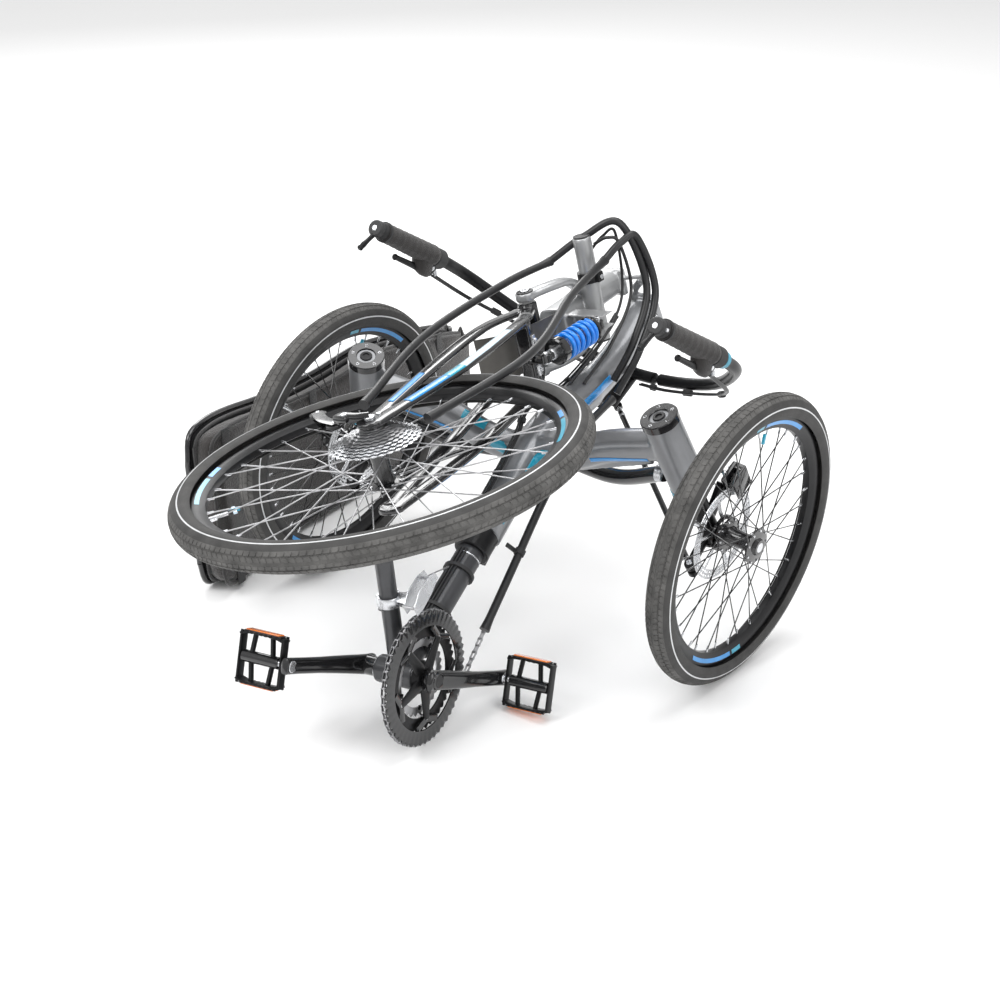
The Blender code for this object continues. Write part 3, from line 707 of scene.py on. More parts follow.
@dataclass
class Decal:
    """A thin printed stripe laid on a painted surface."""

    name: str
    surface: bpy.types.Object
    body: str
    lift: float = 0.0006

    def lay(self, lines: list, finish: Finish, place: Matrix, away: Vector, reach: float = 0.06,
            steps: int = 28) -> bpy.types.Object | None:
        """Casts a ribbon between two edge lines onto the surface.

        Args:
            lines: Two lists of riding points, the stripe's two edges.
            finish: Finish of the stripe.
            place: Matrix from riding coordinates to the world.
            away: Direction off the surface, in riding coordinates.
            reach: Distance from which the rays start.
            steps: Samples along the stripe.

        Returns:
            The stripe, or None where it misses the surface.
        """
        tree = BVHTree.FromPolygons([v.co for v in self.surface.data.vertices],
                                    [p.vertices for p in self.surface.data.polygons])
        out = (place.to_3x3() @ Vector(away)).normalized()
        edges = [curve_through(line, steps) for line in lines]
        count = min(len(edge) for edge in edges)
        bm = bmesh.new()
        rows = []
        for k in range(count):
            row = []
            for share in (0.0, 0.25, 0.5, 0.75, 1.0):
                point = place @ edges[0][k].lerp(edges[1][k], share)
                hit, normal, _, _ = tree.ray_cast(point + out * reach, -out, reach * 2.2)
                row.append(bm.verts.new(hit + normal * self.lift) if hit else None)
            rows.append(row)
        for first, second in zip(rows, rows[1:]):
            for k in range(4):
                corner = [first[k], first[k + 1], second[k + 1], second[k]]
                if all(corner):
                    bm.faces.new(corner)
        loose = [v for v in bm.verts if not v.link_faces]
        bmesh.ops.delete(bm, geom=loose, context="VERTS")
        if not bm.faces:
            bm.free()
            log.warning("%s misses its surface", self.name)
            return None
        bmesh.ops.solidify(bm, geom=bm.faces[:], thickness=DECAL_THICKNESS)
        bmesh.ops.recalc_face_normals(bm, faces=bm.faces)
        mesh = bpy.data.meshes.new(self.name)
        bm.to_mesh(mesh)
        bm.free()
        mesh.materials.append(finish.material())
        mesh.shade_smooth()
        obj = bpy.data.objects.new(self.name, mesh)
        bpy.context.scene.collection.objects.link(obj)
        settle(obj, self.body, None)
        return obj


# ---------------------------------------------------------------- wheels

@dataclass
class Wheel:
    """Tyre, rim, spokes and hub of one wheel, turned about an X axis."""

    name: str
    body: str
    place: Matrix
    centre: Vector
    radius: float
    section: float
    spokes: int = 36
    flange: float = 0.028
    flange_radius: float = 0.029
    hub_half: float = 0.034
    start: float = 0.0
    valve: float = 2.0
    arcs: tuple = ((3.42, 0.62), (4.07, 0.12), (0.31, 0.60), (0.94, 0.10))

    def build(self) -> None:
        """Builds every part of the wheel."""
        self.tyre()
        self.rim()
        self.lacing()
        self.hub()

    def _spoke(self, angle: float) -> Vector:
        """Returns the outward direction at an angle."""
        return Y * cos(angle) + Z * sin(angle)

    def tyre(self) -> None:
        """Builds the carcass with a fine ribbed tread and a reflective stripe."""
        piece = Piece(f"tyre_detail_{self.name}", self.place)
        middle = self.radius - self.section
        profile, bands = [], []
        count = 44
        for k in range(count + 1):
            angle = pi * (-0.20 + 1.40 * k / count)
            rib = 0.0005 * (1 - cos(14 * angle)) if 0.25 < angle / pi < 0.75 else 0.0
            radius = self.section - rib
            profile.append((radius * cos(angle), middle + radius * sin(angle)))
            share = angle / pi
            if 0.24 < share < 0.76:
                bands.append(TREAD)
            elif 0.035 < share < 0.085 or 0.915 < share < 0.965:
                bands.append(STRIPE)
            else:
                bands.append(TYRE)
        inner = [(x * 0.86, middle + (r - middle) * 0.86) for x, r in reversed(profile)]
        piece.turned(profile + inner, bands + [TYRE] * len(inner), self.centre, X, 144)
        self.tread(piece, middle)
        piece.finish(self.body, [f"tyre_{self.name}"], sharp=60)

    def tread(self, piece: Piece, middle: float) -> None:
        """Cuts the tread's look with rows of low slanted blocks.

        Args:
            piece: Piece that takes the blocks.
            middle: Radius of the carcass's centre circle.
        """
        count = int(tau * self.radius / 0.0115)
        for k in range(count):
            for row, angle in enumerate((0.30, 0.42, 0.58, 0.70)):
                turn = tau * (k + 0.5 * (row % 2)) / count
                out = self._spoke(turn)
                along = -Y * sin(turn) + Z * cos(turn)
                lift = self.section - 0.0002
                at = Vector(self.centre) + X * lift * cos(pi * angle)
                at = at + out * (middle + lift * sin(pi * angle))
                normal = (X * cos(pi * angle) + out * sin(pi * angle)).normalized()
                across = along.cross(normal)
                slant = 0.35 if row % 2 else -0.35
                first, second = along * 0.0044, (across + along * slant) * 0.0030
                top = [at + first + second, at + first - second, at - first - second,
                       at - first + second]
                raised = [piece.bm.verts.new(p + normal * 0.0007) for p in top]
                sunk = [piece.bm.verts.new(p + (p - at) * 0.15 - normal * 0.0012) for p in top]
                index = piece.index_of(TREAD)
                piece.bm.faces.new(raised).material_index = index
                for n in range(4):
                    m = (n + 1) % 4
                    corner = (raised[n], raised[m], sunk[m], sunk[n])
                    piece.bm.faces.new(corner).material_index = index

    def rim_outer(self) -> float:
        """Returns the radius of the rim's edge."""
        return self.radius - self.section * 1.55

    def rim(self) -> None:
        """Builds the box rim with brake-free walls, label arcs, valve and nipples."""
        piece = Piece(f"rim_detail_{self.name}", self.place)
        outer = self.rim_outer()
        deep = outer - 0.0200
        outline = [(-0.0118, outer), (-0.0122, outer - 0.006), (-0.0100, outer - 0.013),
                   (-0.0055, deep - 0.0010), (0, deep - 0.0022), (0.0055, deep - 0.0010),
                   (0.0100, outer - 0.013), (0.0122, outer - 0.006), (0.0118, outer),
                   (0.0096, outer), (0.0080, outer - 0.006), (-0.0080, outer - 0.006),
                   (-0.0096, outer)]
        piece.turned(outline, BLACK, self.centre, X, 144)
        for side in (-1, 1):
            for k, (start, span) in enumerate(self.arcs):
                self.label(piece, side, start, span, TEAL if k % 2 else DECAL, outer)
        for k in range(self.spokes):
            out = self._spoke(self.start + tau * k / self.spokes)
            at = Vector(self.centre) + out * (deep - 0.001) + X * (0.002 if k % 2 else -0.002)
            piece.rod(at, at - out * 0.011, 0.0021, SILVER, 8, 0.0, 0.0016)
        out = self._spoke(self.valve)
        valve = Vector(self.centre) + out * (deep - 0.001)
        piece.rod(valve, valve - out * 0.030, 0.0030, SILVER, 12, 0.0004)
        piece.rod(valve - out * 0.030, valve - out * 0.042, 0.0040, PLASTIC, 12, 0.001)
        piece.finish(self.body, [f"rim_{self.name}"])

    def label(self, piece: Piece, side: int, start: float, span: float, finish: Finish,
              outer: float) -> None:
        """Lays one label arc on a rim wall.

        Args:
            piece: Piece that takes the arc.
            side: Side of the rim, 1 or -1.
            start: Start angle in radians.
            span: Length in radians.
            finish: Finish of the arc.
            outer: Radius of the rim's edge.
        """
        steps = max(4, int(span * 40))
        index = piece.index_of(finish)
        rows = []
        for k in range(steps + 1):
            out = self._spoke(start + span * k / steps)
            edge = [(0.0126, outer - 0.0062), (0.0117, outer - 0.0092), (0.0104, outer - 0.0130)]
            rows.append([piece.bm.verts.new(Vector(self.centre) + X * side * x + out * r)
                         for x, r in edge])
        for first, second in zip(rows, rows[1:]):
            for k in range(2):
                piece.bm.faces.new((first[k], first[k + 1], second[k + 1],
                                    second[k])).material_index = index

    def lacing(self) -> None:
        """Builds the crossed wire spokes and a small clip on one of them."""
        piece = Piece(f"spokes_{self.name}", self.place)
        clip = 5.70 if self.name == "rear" else 0.80
        spot = Vector(self.centre) + self._spoke(clip) * (self.radius * 0.70)
        turn = Matrix.Rotation(clip, 4, X)
        piece.block(spot, (0.0022, 0.0085, 0.0030), TEAL, turn, 0.001)
        if self.name == "rear":
            piece.block(spot, (0.0018, 0.0030, 0.0130), PALE, turn, 0.001)
        reach = self.rim_outer() - 0.0215
        for k in range(self.spokes):
            side = 1 if k % 2 else -1
            lean = (1 if (k // 2) % 2 else -1) * 0.92
            rim_angle = self.start + tau * k / self.spokes
            hub_angle = rim_angle + lean
            hub = Vector(self.centre) + self._spoke(hub_angle) * (self.flange_radius - 0.003)
            inside = 0.0016 if (k // 2) % 2 else -0.0016
            hub = hub + X * side * (self.flange + inside)
            tip = Vector(self.centre) + self._spoke(rim_angle) * reach + X * side * 0.002
            piece.rod(hub, tip, 0.00105, STEEL if self.name == "rear" else GLOSS, 6)
            piece.rod(hub - X * 0.0022, hub + X * 0.0022, 0.0020, SILVER, 6)
        piece.finish(self.body, None)

    def hub(self) -> None:
        """Builds the hub shell, flanges and end nuts."""
        piece = Piece(f"hub_detail_{self.name}", self.place)
        f, r, half = self.flange, self.flange_radius, self.hub_half
        outline = [(-half, 0.0085), (-half, 0.0125), (-f - 0.003, 0.0150), (-f - 0.0016, r),
                   (-f + 0.0014, r), (-f + 0.004, 0.0170), (-0.010, 0.0140), (0.010, 0.0140),
                   (f - 0.004, 0.0170), (f - 0.0014, r), (f + 0.0016, r), (f + 0.003, 0.0150),
                   (half, 0.0125), (half, 0.0085)]
        piece.turned(outline, GLOSS, self.centre, X, 48)
        for side in (-1, 1):
            end = Vector(self.centre) + X * side * half
            piece.rod(end - X * side * 0.004, end + X * side * 0.0004, 0.0084, SILVER, 20, 0.0003)
        piece.finish(self.body, [f"hub_{self.name}"])


@dataclass
class FrontCorner:
    """Knuckle, brake and wheel of one front corner."""

    side: int

    def build(self) -> None:
        """Builds the corner's wheel, disc, caliper and knuckle."""
        self.name = "right" if self.side > 0 else "left"
        self.at = same if self.side > 0 else flip
        self.place = STANCE.steered(self.side)
        centre = self.at((STANCE.track / 2, 0.0, STANCE.kingpin[2]))
        wheel = Wheel(self.name, f"wheel_{self.name}", self.place, centre, *STANCE.front_tyre,
                      flange=0.026, flange_radius=0.030, start=0.05)
        wheel.build()
        self.disc(centre)
        self.knuckle(centre)
        self.caliper()
        self.hose()

    def disc(self, centre: Vector) -> None:
        """Builds the slotted brake disc with its carrier and bolts.

        Args:
            centre: Middle of the wheel.
        """
        piece = Piece(f"disc_detail_{self.name}", self.place)
        middle = Vector(centre) - X * self.side * 0.0375
        half = 0.0009
        for inner, outer in ((0.0765, 0.0800), (0.0700, 0.0735), (0.0640, 0.0668)):
            piece.turned([(-half, inner), (-half, outer), (half, outer), (half, inner)], SILVER,
                         middle, X, 96)
        for k in range(48):
            angle = tau * k / 48
            turn = Matrix.Rotation(angle, 4, X)
            out = Y * cos(angle) + Z * sin(angle)
            for radius in (0.0750, 0.0684):
                piece.block(middle + out * radius, (half, 0.0022, 0.0011), SILVER, turn, 0)
        for k in range(6):
            angle = tau * k / 6
            out, side = Y * cos(angle) + Z * sin(angle), -Y * sin(angle) + Z * cos(angle)
            start, end = middle + out * 0.0245, middle + out * 0.0645 + side * 0.016
            piece.tube([start, start.lerp(end, 0.5) + side * 0.003, end], (0.0038, half), SILVER,
                       8, 0.9, X)
            piece.bolt(middle + out * 0.0265 + X * self.side * -half, X * -self.side, 0.0036,
                       0.0022)
        piece.turned([(-0.0016, 0.0235), (-0.0016, 0.0310), (0.0016, 0.0310), (0.0016, 0.0235)],
                     GLOSS, middle, X, 48)
        piece.finish(f"wheel_{self.name}", [f"brake_disc_{self.name}"])

    def knuckle(self, centre: Vector) -> None:
        """Builds the forged knuckle with kingpin boss, stub axle and steering arm.

        Args:
            centre: Middle of the wheel.
        """
        piece = Piece(f"knuckle_detail_{self.name}", self.place)
        pin, axis = self.at(STANCE.kingpin), self.at(STANCE.kingpin_axis).normalized()
        low, high = pin - axis * 0.030, pin + axis * 0.076
        piece.rod(low, high, 0.0170, BLACK, 32, 0.0015)
        piece.rod(low - axis * 0.0004, low + axis * 0.006, 0.0186, GLOSS, 32, 0.001)
        piece.rod(high - axis * 0.012, high, 0.0188, GLOSS, 32, 0.001)
        piece.bolt(low - axis * 0.001, -axis, 0.0085, 0.006, SILVER)
        face = centre - X * self.side * 0.0345
        piece.rod(pin, face, 0.0120, BLACK, 24, 0.0, 0.0090)
        arm_end = pin + Vector(STANCE.steering_arm) - Z * 0.022
        mid = (pin + arm_end) / 2 - Z * 0.004
        piece.tube(curve_through([pin - Z * 0.014, mid, arm_end], 5), (0.0085, 0.0058), BLACK, 14,
                   0.4)
        piece.rod(arm_end - Z * 0.0065, arm_end + Z * 0.0065, 0.0095, BLACK, 20, 0.001)
        piece.bolt(arm_end + Z * 0.0065, Z, 0.0050, 0.004, SILVER)
        mount = self.at((0.326, 0.062, 0.290))
        piece.tube(curve_through([pin + Z * 0.010, (pin + mount) / 2 + Z * 0.004, mount], 5),
                   (0.0068, 0.0115), BLACK, 14, 0.5)
        piece.finish(f"knuckle_{self.name}", [f"knuckle_{self.name}"])

    def caliper(self) -> None:
        """Builds the disc caliper with its adjusters and bolts."""
        piece = Piece(f"caliper_detail_{self.name}", self.place)
        middle = self.at((0.3505, 0.070, 0.300))
        for offset in (-0.0085, 0.0100):
            half = (0.0042, 0.0205, 0.0235) if offset < 0 else (0.0028, 0.0195, 0.0225)
            piece.block(middle + X * self.side * offset, half, GLOSS, bevel=0.0028)
        piece.block(middle + Y * 0.015 + Z * 0.012, (0.0118, 0.006, 0.010), GLOSS, bevel=0.002)
        inner = middle - X * self.side * 0.0127
        piece.rod(inner + X * self.side * 0.001, inner - X * self.side * 0.003, 0.0105, BLACK, 24,
                  0.001)
        piece.turned([(0, 0.0075), (0, 0.0100), (0.001, 0.0100), (0.001, 0.0075)], BLUE,
                     inner - X * self.side * 0.0028, X * -self.side, 32)
        for dz in (-0.017, 0.017):
            piece.bolt(inner + Z * dz + Y * 0.010 + X * self.side * 0.0005, X * -self.side, 0.0038,
                       0.003,
                       SILVER)
        piece.finish(f"knuckle_{self.name}", [f"brake_caliper_{self.name}"])

    def hose(self) -> None:
        """Builds the brake cable's noodle that leaves the caliper."""
        piece = Piece(f"caliper_cable_{self.name}", self.place)
        start = self.at((0.340, 0.062, 0.322))
        route = [start, start + Z * 0.025 + self.at((-0.006, -0.006, 0)),
                 self.at((0.312, 0.035, 0.372)),
                 self.at((0.298, 0.020, 0.385))]
        piece.tube(curve_through(route, 6), 0.0026, CABLE, 10)
        piece.rod(start - Z * 0.004, start + Z * 0.010, 0.0042, SILVER, 12, 0.0005)
        piece.finish(f"knuckle_{self.name}", None)


# ---------------------------------------------------------------- frame

@dataclass
class FrontFrame:
    """Main frame with crossbeam and struts, its clamp, cross tube, hinge and trim."""

    strut_radius: float = 0.0305
    tube: list = field(default_factory=lambda: [
        (0, -0.150, 0.319), (0, -0.060, 0.312), (0, 0.028, 0.306), (0, 0.113, 0.280),
        (0, 0.228, 0.222), (0, 0.340, 0.180), (0, 0.463, 0.163)])

    def build(self) -> None:
        """Builds the welded frame and everything bolted to it."""
        self.place = STANCE.front()
        self.skin = self.welded()
        self.caps()
        self.stripes()
        self.clamp()
        self.lower_tube()
        self.lever()
        self.clips()

    def strut(self, side: int, along: float) -> Vector:
        """Returns a point on a kingpin strut's centre line."""
        place = same if side > 0 else flip
        pin, axis = place(STANCE.kingpin), place(STANCE.kingpin_axis).normalized()
        return pin + axis * along

    def welded(self) -> bpy.types.Object:
        """Builds the painted frame as one welded skin.

        Returns:
            The frame object.
        """
        piece = Piece("main_frame_skin", self.place)
        path = curve_through(self.tube, 5)
        last = len(path) - 10
        sizes = [(0.0270, 0.0320)] * last + [(0.0250, 0.0290)] * 10
        piece.tube(path, sizes, GREY, 24, 0.5)
        ends = [self.strut(side, 0.175) - X * side * 0.012 for side in (-1, 1)]
        beam = curve_through([ends[0], (-0.16, 0.040, 0.362), (-0.06, 0.032, 0.315),
                              (0.06, 0.032, 0.315), (0.16, 0.040, 0.362), ends[1]], 6)
        piece.tube(beam, (0.0230, 0.0250), GREY, 24, 0.5)
        for side in (-1, 1):
            piece.rod(self.strut(side, 0.0815), self.strut(side, 0.2345), self.strut_radius, GREY,
                      40)
            gusset = [(side * 0.055, 0.020, 0.300), (side * 0.15, 0.028, 0.335),
                      (side * 0.235, 0.030, 0.372)]
            piece.tube(curve_through(gusset, 4), (0.004, 0.020), GREY, 12, 0.6)
        piece.block((0, 0.4690, 0.163), (0.0250, 0.0075, 0.0340), GREY, bevel=0.002)
        pivot, axis = Vector(STANCE.bar_pivot), Vector(STANCE.bar_axis)
        piece.rod(pivot + axis * 0.0165, pivot + axis * 0.044, 0.0175, GREY, 24)
        fold, line = Vector(STANCE.fold_point), Vector(STANCE.fold_axis).normalized()
        piece.rod(fold - line * 0.0255, fold - line * 0.0022, 0.0076, GREY, 24)
        piece.tube([(-0.020, 0.466, 0.186), fold - line * 0.014 - Y * 0.004], 0.005, GREY, 12)
        obj = piece.finish("frame", ["main_frame"])
        weld(obj, 0.0026, 5)
        return obj

    def caps(self) -> None:
        """Builds the bolted black strut caps and the blue bands at the strut feet."""
        piece = Piece("strut_caps", self.place)
        for side in (-1, 1):
            top, axis = self.strut(side, 0.2355), (self.strut(side, 1) - self.strut(side, 0))
            axis.normalize()
            outline = [(-0.012, 0.0312), (0.0, 0.0312), (0.0015, 0.0300), (0.0015, 0.0165),
                       (-0.002, 0.0150), (-0.002, 0.0002), (-0.012, 0.0002)]
            piece.turned(outline, GLOSS, top, axis, 48)
            piece.bolt(top - axis * 0.002, axis, 0.0105, 0.0034, BLACK)
            round_u = axis.orthogonal().normalized()
            for k in range(5):
                spot = Matrix.Rotation(tau * k / 5, 3, axis) @ round_u * 0.0235
                piece.bolt(top + spot + axis * 0.0008, axis, 0.0030, 0.0007, SILVER)
            band = self.strut(side, 0.0865)
            outline = [(0, 0.0302), (0, 0.0314), (0.009, 0.0314), (0.009, 0.0302)]
            piece.turned(outline, TEAL, band, axis, 48)
            piece.turned([(0.0, 0.0302), (0.0, 0.0318), (0.0045, 0.0318), (0.0045, 0.0302)], GLOSS,
                         self.strut(side, 0.0812), axis, 48)
        piece.finish("frame", None)

    def stripes(self) -> None:
        """Lays the blue and teal stripes on the painted frame."""
        def edge(points: list, dz: float, dx: float) -> list:
            return [(x + dx, y, z + dz) for x, y, z in points]
        decal = Decal("stripe", self.skin, "frame")
        spine = [(0, -0.125, 0.317), (0, -0.050, 0.312), (0, 0.020, 0.306)]
        for name, side in (("right", 1), ("left", -1)):
            decal.name = f"frame_stripe_{name}"
            lines = [edge(spine, 0.016, side * 0.014), edge(spine, 0.003, side * 0.027)]
            decal.lay(lines, TEAL, self.place, (side, 0, 0.6))
            decal.name = f"frame_tail_stripe_{name}"
            tail = [(0, 0.130, 0.272), (0, 0.200, 0.238), (0, 0.270, 0.205)]
            decal.lay([edge(tail, 0.012, side * 0.02), edge(tail, -0.004, side * 0.027)], DECAL,
                      self.place, (side, 0, 0.5))
            decal.name = f"gusset_stripe_{name}"
            beam = [(side * 0.13, 0.028, 0.342), (side * 0.19, 0.026, 0.362),
                    (side * 0.245, 0.026, 0.385)]
            decal.lay([edge(beam, 0.008, 0), edge(beam, -0.002, 0)], DECAL, self.place, (0, -1, 0))
            decal.name = f"beam_accent_{name}"
            top = [(side * 0.075, 0.028, 0.34), (side * 0.115, 0.030, 0.36)]
            shift = [(x, y + 0.018, z) for x, y, z in top]
            decal.lay([top, shift], TEAL, self.place, (0, 0, 1))

    def clamp(self) -> None:
        """Builds the boom clamp with its slot and bolts."""
        piece = Piece("boom_clamp_detail", self.place)
        line = (STANCE.boom_line(-0.192), STANCE.boom_line(-0.1515))
        axis = (line[1] - line[0]).normalized()
        length = (line[1] - line[0]).length
        outline = [(0, 0.0229), (0, 0.0285), (0.0015, 0.0300), (length - 0.0015, 0.0300),
                   (length, 0.0285), (length, 0.0229)]
        piece.turned(outline, BLACK, line[0], axis, 64)
        for x in (-0.0075, 0.0075):
            piece.block((x, -0.172, 0.2925), (0.0042, 0.0155, 0.0100), BLACK, bevel=0.002)
        for y in (-0.181, -0.163):
            piece.rod((-0.0118, y, 0.289), (0.0118, y, 0.289), 0.0030, SILVER, 12, 0.0004)
        piece.finish("frame", ["boom_clamp"])

    def lower_tube(self) -> None:
        """Builds the black cross tube with its end clamps."""
        piece = Piece("lower_cross_tube_detail", self.place)
        feet = [self.strut(side, 0.105) - X * side * 0.040 for side in (-1, 1)]
        path = curve_through([feet[0], (-0.14, 0.045, 0.262), (0, 0.075, 0.234),
                              (0.14, 0.045, 0.262),
                              feet[1]], 8)
        piece.tube(path, 0.0135, GLOSS, 24)
        for side, foot in ((-1, feet[0]), (1, feet[1])):
            piece.rod(foot - X * side * 0.012, foot, 0.0145, SILVER, 24, 0.001)
        piece.finish("frame", ["lower_cross_tube"])

    def lever(self) -> None:
        """Builds the hinge's quick release lever and its pivot."""
        piece = Piece("hinge_lever_detail", self.place)
        lever = [(0.033, 0.440, 0.168), (0.046, 0.420, 0.180), (0.052, 0.370, 0.205)]
        path = curve_through(lever, 6)
        taper = [1.0 - 0.45 * (k / (len(path) - 1)) ** 2 for k in range(len(path))]
        piece.tube(path, (0.0058, 0.0098), GREY, 16, 0.4, taper=taper)
        piece.rod((0.0275, 0.443, 0.158), (0.0275, 0.443, 0.178), 0.0075, BLACK, 20, 0.001)
        piece.bolt((0.033, 0.440, 0.1775), Z, 0.0045, 0.003, SILVER)
        piece.finish("frame", ["hinge_lever"])

    def clips(self) -> None:
        """Builds the small black cable clips on the crossbeam and spine."""
        piece = Piece("cable_clips", self.place)
        for x, y, z in ((0.10, 0.055, 0.352), (0.15, 0.058, 0.378), (-0.10, 0.055, 0.352),
                        (-0.15, 0.058, 0.378), (0.0, 0.10, 0.320), (0.012, 0.20, 0.268)):
            piece.block((x, y - 0.008, z - 0.004), (0.008, 0.006, 0.004), PLASTIC, bevel=0.0015)
        piece.finish("frame", None)


@dataclass
class Boom:
    """Boom, bottom bracket, derailleur post and front derailleur."""

    radius: float = 0.0224
    post_radius: float = 0.0144
    post: Point = (0, 0.118, 0.204)

    def build(self) -> None:
        """Builds the boom and what it carries."""
        self.place = STANCE.boom()
        self.centre = Vector(STANCE.bottom_bracket)
        self.tubes()
        self.derailleur()

    def tubes(self) -> None:
        """Builds the boom tube, bracket shell and post."""
        piece = Piece("boom_detail", self.place)
        back = Vector(STANCE.boom_back)
        piece.rod(back, self.centre, self.radius, CHARCOAL, 40)
        piece.turned([(-0.036, 0.0130), (-0.036, 0.0215), (-0.035, 0.0224), (0.035, 0.0224),
                      (0.036, 0.0215), (0.036, 0.0130)], CHARCOAL, self.centre, X, 48)
        top = self.centre + Vector(self.post)
        piece.rod(self.centre, top, self.post_radius, BLACK, 32, 0.0012)
        self.skin = piece.finish("frame", ["boom"])
        weld(self.skin, 0.0022, 4)
        trim = Piece("boom_trim", self.place)
        along = Vector(self.post).normalized()
        trim.rod(top - along * 0.008, top + along * 0.0003, 0.0154, PLASTIC, 32, 0.001)
        for side in (-1, 1):
            face = self.centre + X * side * 0.0352
            trim.turned([(0, 0.0135), (0, 0.0210), (0.0012, 0.0205), (0.0012, 0.0140)], SILVER,
                        face,
                        X * side, 48)
        ring = STANCE.boom_line(-0.205)
        axis = (self.centre - back).normalized()
        trim.turned([(0, 0.0222), (0, 0.0228), (0.0025, 0.0228), (0.0025, 0.0222)], SILVER, ring,
                    axis, 48)
        trim.finish("frame", None)

    def derailleur(self) -> None:
        """Builds the silver front derailleur: band, parallelogram and cage."""
        piece = Piece("front_derailleur_detail", self.place)
        along = Vector(self.post).normalized()
        middle = self.centre + along * 0.128
        outline = [(-0.0085, 0.0149), (-0.0085, 0.0188), (-0.0075, 0.0195), (0.0075, 0.0195),
                   (0.0085, 0.0188), (0.0085, 0.0149)]
        piece.turned(outline, SILVER, middle, along, 48)
        piece.bolt(middle - Y * 0.017 - X * 0.006, -Y, 0.0040, 0.004, STEEL)
        piece.block(middle + Vector((0.026, 0.004, 0.003)), (0.0120, 0.0085, 0.0040), SILVER,
                    bevel=0.0015)
        piece.block(middle + Vector((0.026, 0.004, -0.005)), (0.0120, 0.0085, 0.0030), STEEL,
                    bevel=0.001)
        for offset in (-0.0095, 0.0095):
            plate = [(-0.036, -0.010), (-0.020, -0.015), (0.010, -0.0155), (0.036, -0.012),
                     (0.036, 0.003),
                     (0.020, 0.012), (-0.010, 0.0155), (-0.034, 0.006)]
            turn = Matrix(((0, 0, 1), (1, 0, 0), (0, 1, 0))).to_4x4()
            at = Matrix.Translation(middle + Vector((0.047 + offset, 0.022, 0.003))) @ turn
            piece.plate(plate, 0.0012, at, SILVER, 0.0003)
        for dy, dz in ((-0.012, 0.011), (0.050, -0.004)):
            start = middle + Vector((0.0375, dy, dz))
            piece.rod(start, start + X * 0.019, 0.0024, STEEL, 10)
        piece.finish("frame", ["front_derailleur"])
        cable = Piece("front_derailleur_cable", self.place)
        route = [middle + Vector((0.018, 0.010, 0.010)), middle + Vector((0.012, 0.030, -0.020)),
                 middle + Vector((0.006, 0.075, -0.050)), middle + Vector((0.004, 0.125, -0.095))]
        cable.tube(curve_through(route, 6), 0.0012, STEEL, 8)
        cable.finish("frame", None)


# ---------------------------------------------------------------- drive

